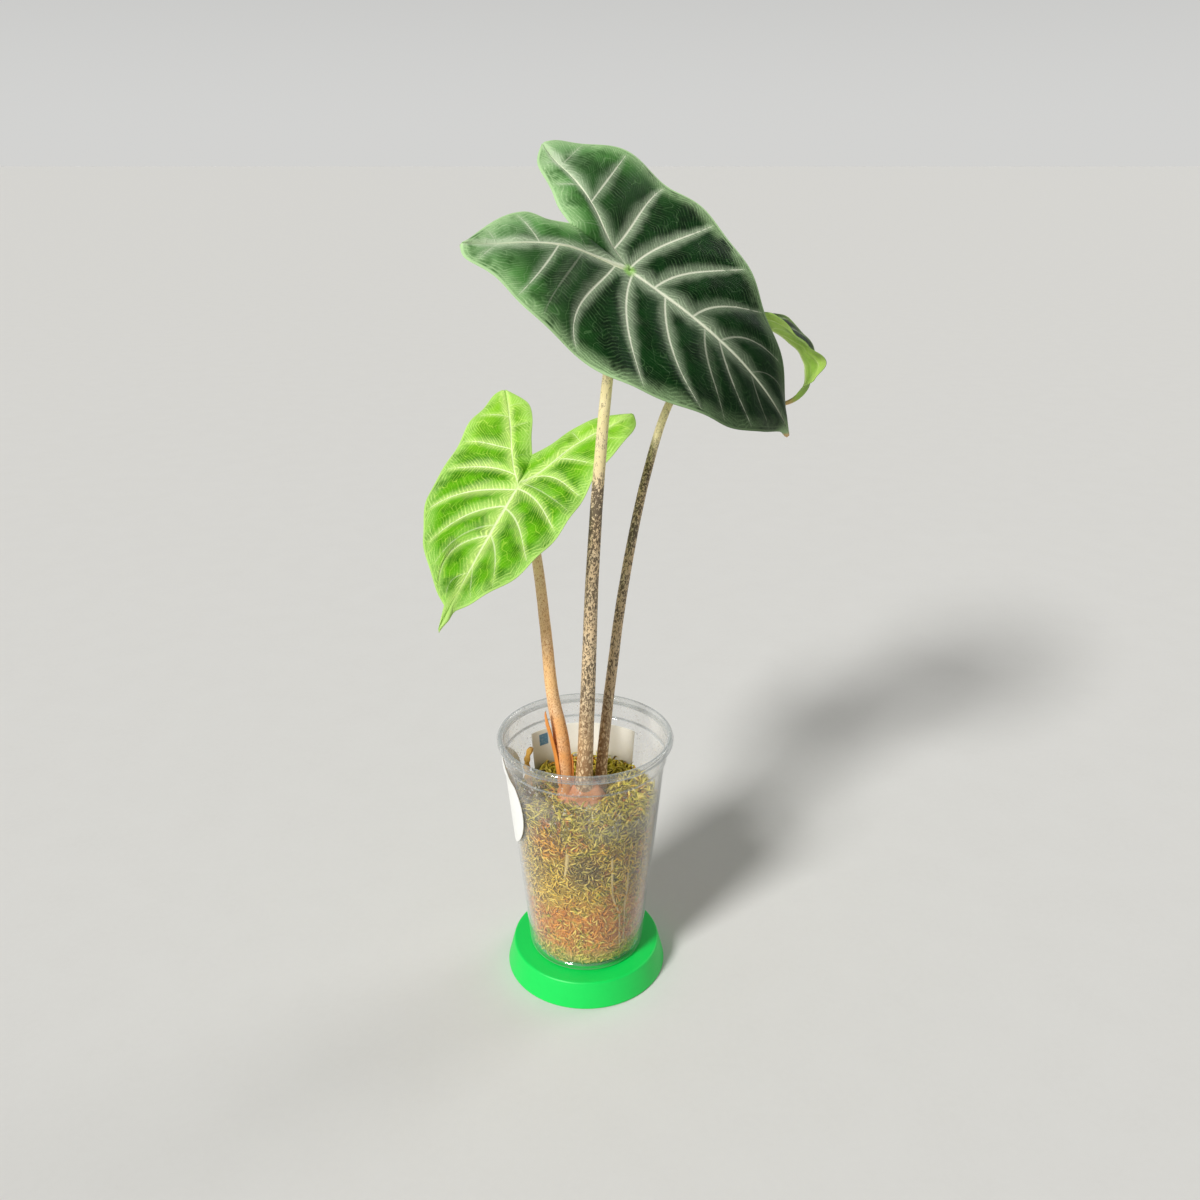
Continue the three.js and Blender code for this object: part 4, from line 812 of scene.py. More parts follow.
# Stalk skins: the heights where the mottling starts and ends, how thick it is, and its dashes' width
big_stalk = petiole_finish(
    "fleshy_stalk_mottled",
    {"base": "#E4C79C", "warm": "#F2D2A2", "top": "#F6E4AC", "pale": "#FAE8C4", "speck": "#3A2C1C",
     "foot_speck": "#8A6038", "warm_range": (165.0, 125.0), "crackle": 0.85, "leaf_shadow_belt": 0.04},
    (118.0, 185.0), (300.0, 283.0), 0.075, 1.0)
young_stalk = petiole_finish(
    "fleshy_stalk_salmon",
    {"base": "#FCCC8C", "warm": "#F2A458", "top": "#FFE6AC", "pale": "#FFE8C0", "speck": "#C08048",
     "foot_speck": "#B8642A", "warm_range": (180.0, 122.0), "crackle": 0.0, "leaf_shadow_belt": 0.0},
    (120.0, 150.0), (275.0, 190.0), 0.03, 0.6)

# Swollen stem flesh: smooth and damp, blotched a little darker
crown_flesh = plain_finish("fleshy_crown_pink", FLESH_IOR, 0.5, "#F2A466", "#B06838", 1.5, 1.9, 0.25)
# Dead leaf base, thin as paper: dry and dull, with fine fibres
sheath_paper = plain_finish("papery_sheath_orange", CUTICLE_IOR, 0.5, "#F2A04C", "#C26A26", 1.2, 1.2, 0.15)
# Injection-moulded plastic straight from a satin mould: one even colour and soft broad highlights. The
# mould's grain is ten times finer than the one drawn, which is as fine as shows.
stand_plastic = plain_finish(
    "moulded_plastic_satin_green", PLASTIC_IOR, 0.42, "#00DA56", "#00C24A", 0.5, 0.5, 0.03)
# Uncoated label paper: matt, with a tooth that hardly shows and is drawn coarser than it is
sticker_paper = plain_finish("white_paper_matt", PAPER_IOR, 0.65, "#F4F4EF", "#D4D2C8", 0.6, 0.6, 0.06)
# Dried stalk: brittle straw with dark flecks
straw = plain_finish("dry_straw", CUTICLE_IOR, 0.7, "#D8A848", "#7A5420", 0.9, 1.8, 0.3)
# Living root: pale and fleshy, faintly stained
root_skin = plain_finish("pale_root", FLESH_IOR, 0.6, "#E2CC8A", "#A8905A", 1.0, 1.2, 0.15)
moss_ground = moss_finish("sphagnum_body", 0.65, 0.45)
moss_thread = moss_finish("sphagnum_thread", 0.22, 0.38)
clear_plastic = cup_finish()
card_paper = card_finish()


# Blades, a little thinner than their solids, with low ribs under them and a quilted face
BLADE_THICKNESS = 0.5
EDGE_THINNING = 0.6
ARCH_STEPS = 40
LOBE_BLEND = (-8, 12)
FOLD_SOFTNESS = 3
QUILT_DEPTH = 1.9
RIB_DEPTH, RIB_REACH = 1.0, 1.1
GROOVE_DEPTH, GROOVE_REACH = 0.12, 0.9
RIB_FADES_AT = 110
ROWS_PER_VEIN = 16
COLUMNS = np.concatenate([[0, 0.012, 0.03, 0.055], np.linspace(0.085, 0.93, 26),
                          [0.95, 0.967, 0.98, 0.992, 1]])
# Flat places that agree to one part in so many of a millimetre become one point
MERGES_PER_MM = 200


def leaf_axes(leaf):
    """Directions in space of the leaf's flat axes u and v, and of its face."""
    yaw, pitch, roll = np.radians(leaf["turn"])
    heading = np.array([math.cos(yaw), math.sin(yaw), 0])
    ahead = heading * math.cos(pitch) - np.array([0, 0, math.sin(pitch)])
    level = np.array([-heading[1], heading[0], 0])
    side = level * math.cos(roll) + np.cross(ahead, level) * math.sin(roll)
    return ahead, side, np.cross(ahead, side)


def arch_turn(leaf, u):
    """How far the blade has turned down at a place along it, in radians."""
    start, growth, lobes = leaf["arch"]
    return np.where(u > 0, -(start * u + growth * u * u), -lobes * u)


def blade_place(leaf, u, v, rise):
    """Where a flat place of the blade lies in space, on its arched and cupped surface."""
    ahead, side, face = leaf_axes(leaf)
    steps = (np.arange(ARCH_STEPS) + 0.5) / ARCH_STEPS
    turns = arch_turn(leaf, u[:, None] * steps)
    turn = arch_turn(leaf, u)
    plus, minus, twist = leaf["cup"]
    lift_plus, lift_minus, length = leaf["lobe_lift"]
    lobe = np.sin(math.pi * np.clip(-u / length, 0, 1)) ** 2
    height = np.where(v > 0, plus, minus) * v * v + twist * u * v + rise
    height = height + lobe * (lift_plus * smooth(v, *LOBE_BLEND) + lift_minus * smooth(-v, *LOBE_BLEND))
    fold = leaf["fold"]
    if fold:
        away = np.sqrt(v * v + FOLD_SOFTNESS ** 2) - FOLD_SOFTNESS
        slope = np.where(v > 0, read_eased(fold["far"], u), read_eased(fold["near"], u))
        height = height + read_eased(fold["keel"], u) + away * slope
    forward = np.cos(turns).mean(1) * u - np.sin(turn) * height
    upward = np.sin(turns).mean(1) * u + np.cos(turn) * height
    return np.array(leaf["attach"]) + np.outer(forward, ahead) + np.outer(v, side) + np.outer(upward, face)


def blade_normal(leaf, u, v):
    """The blade's upper side at flat places, as unit vectors."""
    step = 0.2
    along = blade_place(leaf, u + step, v, 0) - blade_place(leaf, u - step, v, 0)
    across = blade_place(leaf, u, v + step, 0) - blade_place(leaf, u, v - step, 0)
    normal = np.cross(along, across)
    return normal / np.linalg.norm(normal, axis=1)[:, None]


def fan_grid(leaf, half, outer):
    """A fan of rows on one half of the blade: its flat places, their rise, what the finish reads of the
    veins there (number in the fan, distance to the next, distance along), and the veins' strength."""
    sign = 1 if half == 0 else -1
    vein = flat_curve(leaf["vein"])
    margin = flat_curve(leaf["outer" if outer else "inner"][half])
    tip = leaf["outer"][half][-1][0]
    table = np.array(leaf["side_veins"][half] if outer else leaf["inner_veins"], float)
    fan = np.concatenate([np.arange(k, k + 1, 1 / ROWS_PER_VEIN) for k in range(len(table) - 1)]
                         + [[len(table) - 1]])
    columns = [np.interp(fan, np.arange(len(table)), column) for column in table.T]
    start, end, strength = columns[0], columns[1], columns[-1]
    early, late = columns[2:4] if outer else (0 * start, 0 * start)
    basal = curve_at(vein, np.clip(-start if outer else start, 0, 1))
    rib = np.stack([start * tip, 0 * start], 1)
    begin = np.where((start < 0)[:, None], basal, rib) if outer else basal
    finish = curve_at(margin, end)
    if not outer:
        centre = np.outer(np.clip(fan, 0, 1), (leaf["sinus"][0], sign * leaf["sinus"][1]))
        finish = np.where((fan <= 1)[:, None], centre, finish)
    chord = finish - begin
    t = COLUMNS
    spots = begin[:, None] + chord[:, None] * t[None, :, None]
    # The bow t * (1 - t) ** 2 has its peak, 4 / 27, a third of the way
    bow = 27 / 4 * t * (1 - t) * (early[:, None] * (1 - t) + late[:, None] * t)
    spots = spots + bow[..., None] * np.stack([-chord[:, 1], chord[:, 0]], 1)[:, None]
    run = np.gradient(spots, axis=1)
    run /= np.maximum(np.linalg.norm(run, axis=2), 1e-9)[..., None]
    step = np.gradient(spots, fan, axis=0)
    spacing = np.abs(step[..., 0] * run[..., 1] - step[..., 1] * run[..., 0])
    length = np.linalg.norm(chord, axis=1)[:, None] * t
    height, count, phase = leaf["wave"]
    valley = 1 - strength * (1 - np.abs(np.sin(math.pi * fan)))
    panel = valley[:, None] * np.sin(math.pi * t ** 0.8) ** 0.7
    share = np.ones_like(fan) if outer else smooth(fan, 1, 2)
    wave_at = end if outer else 0 * end
    wave = np.sin(2 * math.pi * count * wave_at + phase + sign) * share
    rise = QUILT_DEPTH * panel + height * wave[:, None] * smooth(t, 0.55, 1)
    number, strength = (np.broadcast_to(row[:, None], spacing.shape) for row in (fan, strength))
    return spots * (1, sign), rise, np.stack([number, spacing, length], -1), strength


def blade_layout(leaf):
    """The blade's four fans as one flat grid: places, rise, veining, strength and faces."""
    fans, faces, offset = [], [], 0
    for half in (0, 1):
        for outer in (True, False):
            grid = fan_grid(leaf, half, outer)
            order = np.arange(grid[1].size).reshape(grid[1].shape) + offset
            quads = grid_faces(order)
            faces.append(quads if (half == 0) == outer else quads[:, ::-1])
            fans.append([part.reshape(order.size, -1) for part in grid])
            offset += order.size
    flat, rise, veining, strength = (np.vstack(parts) for parts in zip(*fans))
    return flat, rise[:, 0], veining, strength[:, 0], np.vstack(faces)


def blade(name, leaf, upper, under):
    """A leaf blade with an upper and a lower skin, and what they read of its veins and edges."""
    flat, rise, veining, strengths, faces = blade_layout(leaf)

    # Places that fall together become one point
    _, first, merged = np.unique(np.round(flat * MERGES_PER_MM).astype(int), axis=0,
                                 return_index=True, return_inverse=True)
    merged = merged.reshape(-1)
    spots, lift = flat[first], rise[first]
    margin = [flat_curve(leaf[kind][half]) * (1, 1 - 2 * half)
              for kind in ("outer", "inner") for half in (0, 1)]
    rim = np.min([distance_to(spots, line) for line in margin], axis=0)
    basal = flat_curve(leaf["vein"])
    tip = leaf["outer"][0][-1][0]
    spines = [np.array([(0.0, 0.0), (tip, 0.0)]), basal, basal * (1, -1)]
    spine = np.min([distance_to(spots, line) for line in spines], axis=0)
    normal = blade_normal(leaf, spots[:, 0], spots[:, 1])
    middle = blade_place(leaf, spots[:, 0], spots[:, 1], lift)
    far = np.clip(np.hypot(spots[:, 0], spots[:, 1]) / RIB_FADES_AT, 0, 1)
    rib = RIB_DEPTH * (1 - 0.75 * far) * np.exp(-(spine / RIB_REACH) ** 2)
    thin = BLADE_THICKNESS / 2 * (EDGE_THINNING + (1 - EDGE_THINNING) * smooth(rim, 0, 3))
    top = middle + normal * (thin - GROOVE_DEPTH * np.exp(-(spine / GROOVE_REACH) ** 2))[:, None]
    bottom = middle - normal * (thin + rib)[:, None]

    # The same faces on both skins, and a strip round the border that only one face has
    count = len(spots)
    polygons, corners, border = [], [], {}
    for quad in faces:
        kept = [c for i, c in enumerate(quad) if merged[c] != merged[quad[i - 1]]]
        ring = [merged[c] for c in kept]
        if len(set(ring)) < 3:
            continue
        polygons.append(ring)
        corners.append(kept)
        for a, b in zip(ring, ring[1:] + ring[:1]):
            if border.pop((b, a), None) is None:
                border[(a, b)] = True
    corner_of = {int(m): i for i, m in enumerate(merged)}
    all_faces = [tuple(int(v) for v in ring) for ring in polygons]
    all_corners = [list(kept) for kept in corners]
    all_faces += [tuple(int(v) + count for v in ring[::-1]) for ring in polygons]
    all_corners += [list(kept)[::-1] for kept in corners]
    slots = [0] * len(polygons) + [1] * len(polygons)
    for a, b in border:
        all_faces.append((int(a), int(a) + count, int(b) + count, int(b)))
        ends = [corner_of[int(a)], corner_of[int(b)]]
        all_corners.append([ends[0], ends[0], ends[1], ends[1]])
    slots += [0] * len(border)
    piece = new_piece(name, np.vstack([top, bottom]), all_faces, [upper, under], slots)
    flatcorners = np.concatenate([np.array(c, int) for c in all_corners])
    points = merged[flatcorners]
    edges = np.stack([rim[points], spine[points], strengths[flatcorners]], 1)
    places = np.stack([spots[points, 0], spots[points, 1], np.zeros(len(points))], 1)
    for title, values in (("veining", veining[flatcorners]), ("edges", edges), ("flat", places)):
        add_vectors(piece, title, "CORNER", values)
    return piece


blade_big = blade("blade_big_fine", BIG_LEAF, dark_leaf, dark_leaf_under)
blade_back = blade("blade_back_fine", BACK_LEAF, back_leaf_skin, back_leaf_under)
blade_young = blade("blade_young_fine", YOUNG_LEAF, young_leaf, young_leaf_under)


# Petioles. The solid blades, which the stalks' ends are set by, are 0.7 mm thick with ribs of 1.1 mm.
SOLID_BLADE_HALF = 0.35
SOLID_RIB = 1.1
STALK_END_INSIDE = 1.2
STALK_STEPS, STALK_SIDES, STALK_RIPPLE = 260, 28, 0.012


def petiole_line(plan, count):
    """The stalk's centre line, up to the underside of its leaf and square to it there."""
    leaf = plan["leaf"]
    zero = np.zeros(1)
    face = blade_normal(leaf, zero, zero)[0]
    centre = blade_place(leaf, zero, zero, 0)[0]
    seat = SOLID_BLADE_HALF + SOLID_RIB + SEAT_GAP
    ends = [centre - face * (seat + plan["neck"]), centre - face * (seat - STALK_END_INSIDE)]
    return space_curve(list(plan["points"]) + ends, count)


def petiole(name, finish, seed):
    """One leaf's stalk, as thick at each height as its plan says."""
    plan = PETIOLES[name]
    line = petiole_line(plan, STALK_STEPS)
    points, faces = tube(line, read_table(plan["radii"], line[:, 2]), STALK_SIDES, STALK_RIPPLE, seed)
    return new_piece(f"{name}_fine", points, faces, [finish])


petiole_big = petiole("petiole_big", big_stalk, 1.0)
petiole_back = petiole("petiole_back", big_stalk, 2.3)
petiole_young = petiole("petiole_young", young_stalk, 3.7)


# Sheets
def sheet(name, upper, lower, finishes, place=None):
    """A closed piece from a grid of places on an upper and a lower face."""
    rows, columns = upper.shape[:2]
    count = rows * columns
    order = np.arange(count).reshape(rows, columns)
    quads = grid_faces(order)
    faces = quads.tolist() + (quads[:, ::-1] + count).tolist()
    loop = np.concatenate([order[:, 0], order[-1, 1:], order[:-1, -1][::-1], order[0, 1:-1][::-1]])
    for a, b in zip(loop, np.roll(loop, -1)):
        faces.append((int(a), int(a) + count, int(b) + count, int(b)))
    piece = new_piece(name, np.vstack([upper.reshape(-1, 3), lower.reshape(-1, 3)]), faces, finishes)
    if place is not None:
        add_vectors(piece, "place", "POINT", np.vstack([place.reshape(-1, 3)] * 2))
    return piece


# Sheath, wrapped most of the way round the young stalk: it rises along its turn from the front to a tall
# point, which stands off the stalk, and its upper edge is ragged
SHEATH_BOTTOM = 118.4
SHEATH_START, SHEATH_SWEEP = -15, 253
SHEATH_HEIGHTS = [(0, 17), (0.3, 11), (0.65, 15), (0.88, 36), (1, 47)]
SHEATH_FLARE = 4.2
SHEATH_THICKNESS = 0.55
FLUTE_DEPTH, FLUTES = 0.12, 9
SHEATH_COLUMNS, SHEATH_ROWS = 67, 40


def sheath():
    """The old leaf base, fluted upright, which clings to the stalk at its foot."""
    plan = PETIOLES["petiole_young"]
    line = petiole_line(plan, 900)
    turns = np.linspace(SHEATH_START, SHEATH_START + SHEATH_SWEEP, SHEATH_COLUMNS)
    share = (turns - SHEATH_START) / SHEATH_SWEEP
    ragged = 0.5 * np.sin(turns * 0.31) + 0.35 * np.sin(turns * 0.83 + 1)
    height = read_table(SHEATH_HEIGHTS, share) + ragged
    rise = np.outer(height, np.linspace(0, 1, SHEATH_ROWS))
    z = SHEATH_BOTTOM + rise
    centre = np.stack([np.interp(z, line[:, 2], line[:, k]) for k in (0, 1)], -1)
    flutes = FLUTE_DEPTH * np.sin(np.radians(turns) * FLUTES)[:, None]
    flare = SHEATH_FLARE * smooth(rise, 12, SHEATH_HEIGHTS[-1][1]) * share[:, None] ** 2
    radius = read_table(plan["radii"], z) + SEAT_GAP + flare
    middle = np.concatenate([centre, 0 * centre[..., :1]], -1)
    outer, inner = (middle + at_turn(radius + grow, np.radians(turns)[:, None], z)
                    for grow in (SHEATH_THICKNESS + flutes, 0))
    return sheet("sheath_fine", outer, inner, [sheath_paper])


sheath_piece = sheath()


# Stand: a moulded disc with softly broken edges
STAND_EDGE = 1.1
TURNED_SIDES = 160
profile = [(0, 0), (STAND_RADIUS_BOTTOM, 0), (STAND_RADIUS_TOP, STAND_HEIGHT), (0, STAND_HEIGHT)]
points, faces = turned(rounded(profile, STAND_EDGE, 5), TURNED_SIDES)
stand_piece = new_piece("stand_fine", points, faces, [stand_plastic], crease=40)

# Cup: foot ring, tapered wall, stepped collar and a rolled lip
CUP_OUTER = [(CUP_BOTTOM + CUP_FOOT, CUP_RADIUS_BOTTOM), (WALL_TOP, CUP_RADIUS_TOP),
             (COLLAR_BOTTOM, COLLAR_RADIUS), (COLLAR_TOP, COLLAR_RADIUS + COLLAR_SPREAD)]


def cup_outer(z):
    """The radius of the cup's outside at a height."""
    return read_table(CUP_OUTER, z)


def cup_inner(z):
    """The radius of the cup's inside at a height."""
    return cup_outer(z) - CUP_WALL


FOOT = CUP_RADIUS_BOTTOM - 1
RIM_INNER = COLLAR_RADIUS + COLLAR_SPREAD - CUP_WALL
CUP_EDGE = 0.7
cup_profile = [
    (0, CUP_BOTTOM + CUP_FOOT), (FOOT - 3.5, CUP_BOTTOM + CUP_FOOT), (FOOT - 2, CUP_BOTTOM),
    (FOOT, CUP_BOTTOM), (CUP_RADIUS_BOTTOM - 0.2, CUP_BOTTOM + 0.8),
    (CUP_RADIUS_BOTTOM, CUP_BOTTOM + CUP_FOOT), (CUP_RADIUS_TOP, WALL_TOP),
    (COLLAR_RADIUS, COLLAR_BOTTOM), (COLLAR_RADIUS + COLLAR_SPREAD, COLLAR_TOP),
    (RIM_RADIUS - 0.5, COLLAR_TOP), (RIM_RADIUS, COLLAR_TOP + 1), (RIM_RADIUS, CUP_TOP - 1.6),
    (RIM_RADIUS - 0.9, CUP_TOP - 0.3), (RIM_RADIUS - 2.1, CUP_TOP), (RIM_INNER, CUP_TOP - 1.4),
    (RIM_INNER, COLLAR_TOP), (COLLAR_RADIUS - CUP_WALL, COLLAR_BOTTOM),
    (CUP_RADIUS_TOP - CUP_WALL, WALL_TOP), (CUP_RADIUS_BOTTOM - CUP_WALL, CUP_FLOOR + 1),
    (CUP_RADIUS_BOTTOM - CUP_WALL - FLOOR_BEVEL, CUP_FLOOR), (0, CUP_FLOOR)]
points, faces = turned(rounded(cup_profile, CUP_EDGE, 3), TURNED_SIDES)
cup_piece = new_piece("cup_fine", points, faces, [clear_plastic], crease=60)


# Card and round paper
def card_face(turns, heights, grow):
    """One face of the card, so far out from its inner one, which is seated against the wall."""
    turn, z = np.meshgrid(np.radians(turns), heights, indexing="ij")
    return at_turn(cup_inner(z) - SEAT_GAP - CARD_THICKNESS + grow, turn, z)


turns = np.linspace(CARD_ANGLE - CARD_SPAN / 2, CARD_ANGLE + CARD_SPAN / 2, 81)
heights = np.linspace(CARD_TOP - CARD_HEIGHT, CARD_TOP, 36)
left_edge = CARD_ANGLE + CARD_SPAN / 2
run, rise = np.meshgrid(np.radians(left_edge - turns) * CUP_RADIUS_TOP, heights - heights[0], indexing="ij")
card_place = np.stack([run, rise, 0 * run], -1)
card_piece = sheet("label_card_fine", card_face(turns, heights, CARD_THICKNESS),
                   card_face(turns, heights, 0), [card_paper], card_place)


def sticker():
    """Round paper laid on the wall, which bridges the step below the collar."""
    sides, rings = 96, np.linspace(0, 1, 22)[1:]
    share, around = np.meshgrid(rings, full_turn(sides), indexing="ij")
    z = np.append(STICKER_HEIGHT + STICKER_RADIUS * share * np.sin(around), STICKER_HEIGHT)
    turn = STICKER_ANGLE + np.degrees(STICKER_RADIUS * share * np.cos(around) / CUP_RADIUS_TOP)
    turn = np.radians(np.append(turn, STICKER_ANGLE))
    bridge = COLLAR_STEP * smooth(z, COLLAR_BOTTOM - 9, COLLAR_BOTTOM - 4)
    seat = cup_outer(z) + SEAT_GAP + bridge * (1 - smooth(z, WALL_TOP, COLLAR_BOTTOM))
    count = len(z)
    layers = [at_turn(seat + grow, turn, z) for grow in (STICKER_THICKNESS, 0)]
    faces = []
    for j in range(sides):
        k = (j + 1) % sides
        front = [(count - 1, j, k)]
        front += [(i * sides + j, (i + 1) * sides + j, (i + 1) * sides + k, i * sides + k)
                  for i in range(len(rings) - 1)]
        faces += front + [tuple(v + count for v in face[::-1]) for face in front]
        outer = (len(rings) - 1) * sides
        faces.append((outer + j, outer + j + count, outer + k + count, outer + k))
    return new_piece("side_sticker_fine", np.vstack(layers), faces, [sticker_paper])


sticker_piece = sticker()


# Dried stalk, knobbly and thinner towards its tip
STRAND_STEPS = 60
STRAND_SHARE = np.linspace(0, 1, STRAND_STEPS)
STALK_RADIUS = 1.9
KNOBS = 0.22
stalk_line = space_curve([(-29.5, -4, 106), (-30.5, -5, 120), (-31.5, -6, 130), (-30.3, -6.5, 138),
                          (-28.6, -6, 142)], STRAND_STEPS)
knobbly = 1 + KNOBS * np.sin(0.7 * np.arange(STRAND_STEPS))
points, faces = tube(stalk_line, STALK_RADIUS * (1 - 0.35 * STRAND_SHARE) * knobbly, 14, KNOBS, 5.0)
stalk_piece = new_piece("dried_stalk_fine", points, faces, [straw])


# Crown, by height and share of its radius, a little wider than it is deep, with leaf scars round it
CROWN_SHAPE = [(92, 0.62), (97, 0.86), (104, 1), (109, 0.97), (113, 0.86), (116, 0.7), (118, 0.5)]
CROWN_WIDTH, CROWN_DEPTH = 1.08, 0.9
CROWN_RINGS, CROWN_SIDES = 60, 72


def crown():
    """The swollen stem base, lumpy where the stalks leave it."""
    bottom, top = CROWN_SHAPE[0][0], CROWN_SHAPE[-1][0]
    level, around = np.meshgrid(np.linspace(bottom, top, CROWN_RINGS), full_turn(CROWN_SIDES), indexing="ij")
    row = np.interp(level, [z for z, share in CROWN_SHAPE], np.arange(len(CROWN_SHAPE)))
    lump = 1 + 0.06 * np.sin(3 * around + row) + 0.04 * np.sin(5 * around - 2 * row)
    rings = 0.012 * np.sin(level * 2.1 + 0.8 * np.sin(3 * around))
    radius = CROWN_RADIUS * read_table(CROWN_SHAPE, level) * (lump + rings)
    grid = at_turn(radius, around, level) * (CROWN_WIDTH, CROWN_DEPTH, 1) + (*CROWN_CENTRE, 0)
    ends = [[*CROWN_CENTRE, bottom], [*CROWN_CENTRE, top]]
    faces = ring_faces(CROWN_RINGS, CROWN_SIDES)
    return new_piece("crown_fine", np.vstack([grid.reshape(-1, 3), ends]), faces, [crown_flesh])


crown_piece = crown()


# Moss: a lumpy body, then threads laid over it
def moss_top(x, y):
    """Height of the moss: lumpy, higher at the front left, and hollowed round the crown."""
    lumps = (np.sin(x * 0.33 + 1.2) * np.cos(y * 0.29) + 0.7 * np.sin(x * 0.61 - y * 0.47 + 2)
             + 0.5 * np.cos(x * 0.9 + y * 0.8))
    front_left = 4 * smooth(-0.55 * x - 0.8 * y, 12, 40)
    away = np.hypot(x - CROWN_CENTRE[0], y - CROWN_CENTRE[1]) / CROWN_RADIUS
    return MOSS_LEVEL + MOSS_LUMP * 0.6 * lumps + front_left - CROWN_HOLLOW * np.exp(-(away / 1.6) ** 2)


# How far the body's top lies under that height
TOP_SUNK = 0.6


def moss_body():
    """The moss's body: rings out along the floor, up the wall and in over the top."""
    sides = 220
    angle, bottom = full_turn(sides), CUP_FLOOR + SEAT_GAP
    foot = CUP_RADIUS_BOTTOM - CUP_WALL - FLOOR_BEVEL - SEAT_GAP
    rings = [at_turn(foot * share, angle, bottom) for share in (0.25, 0.5, 0.75, 0.97)]
    for share in np.linspace(0.02, 0.97, 90):
        wall = cup_inner(bottom + share * (MOSS_LEVEL - bottom)) - SEAT_GAP
        z = bottom + share * (moss_top(wall * np.cos(angle), wall * np.sin(angle)) - bottom)
        wave = np.sin(7 * angle + z * 0.21) + np.sin(11 * angle - z * 0.34 + 1) + np.sin(4 * angle + z * 0.5)
        knots = (np.sin(23 * angle + z * 0.9) * np.sin(17 * angle - z * 0.7 + 2)
                 + np.sin(41 * angle + z * 1.3 + 3) * np.sin(31 * angle - z * 1.7))
        sunk = 0.55 + 0.9 * (0.5 + wave / 6) + 0.35 * (1 + 0.5 * knots)
        rings.append(at_turn(cup_inner(z) - SEAT_GAP - sunk, angle, z))
    for share in np.linspace(0.97, 0.03, 34):
        radius = (cup_inner(MOSS_LEVEL - MOSS_LUMP) - SEAT_GAP - 0.9) * share
        x, y = radius * np.cos(angle), radius * np.sin(angle)
        knots = np.sin(x * 1.9 + 1) * np.sin(y * 2.1 - 1) + 0.6 * np.sin(x * 3.7 - y * 2.9)
        rings.append(at_turn(radius, angle, moss_top(x, y) - TOP_SUNK + 0.45 * knots))
    ends = [[0, 0, bottom], [0, 0, moss_top(0, 0) - TOP_SUNK]]
    faces = ring_faces(len(rings), sides)
    return new_piece("moss_body_fine", np.vstack(rings + [ends]), faces, [moss_ground], crease=180)


moss_piece = moss_body()


# Threads. A real branch of this moss is about 1 mm thick and set with finer leaves, which wouldn't show.
# It is drawn as one curled three-sided thread.
THREAD_SHAPES = 8
THREAD_SEED = 7


def thread_shapes():
    """A handful of curled threads, one unit long, for the moss."""
    draw = np.random.default_rng(THREAD_SEED)
    shelf = bpy.data.collections.new("thread shapes")
    rings = 4
    for number in range(THREAD_SHAPES):
        t = np.linspace(0, 1, rings)
        bend, twist, lift = draw.uniform(-2.0, 2.0), draw.uniform(-2.0, 2.0), draw.uniform(0.05, 0.3)
        turn = bend * t + twist * t * t
        x = np.concatenate([[0], np.cumsum(np.cos(turn[:-1]) / (rings - 1))]) - 0.3
        y = np.concatenate([[0], np.cumsum(np.sin(turn[:-1]) / (rings - 1))])
        z = lift * np.sin(math.pi * t) * draw.uniform(0.4, 1) + 0.02
        curve = np.stack([x, y, z], 1)
        width = draw.uniform(0.07, 0.15) * (1 - 0.8 * np.abs(2 * t - 0.9))
        run = np.gradient(curve, axis=0)
        run /= np.linalg.norm(run, axis=1)[:, None]
        side = np.cross((0, 0, 1), run)
        side /= np.linalg.norm(side, axis=1)[:, None]
        up = np.cross(run, side)
        half = side * width[:, None]
        points = np.stack([curve + half, curve + up * width[:, None] * 0.7, curve - half], 1).reshape(-1, 3)
        mesh = bpy.data.meshes.new(f"thread_{number}")
        last = 3 * rings
        faces = ring_walls(rings, 3) + [(2, 1, 0), (last - 3, last - 2, last - 1)]
        mesh.from_pydata(points.tolist(), [], faces)
        mesh.polygons.foreach_set("use_smooth", [True] * len(mesh.polygons))
        mesh.update()
        shelf.objects.link(bpy.data.objects.new(f"thread_{number}", mesh))
    return shelf


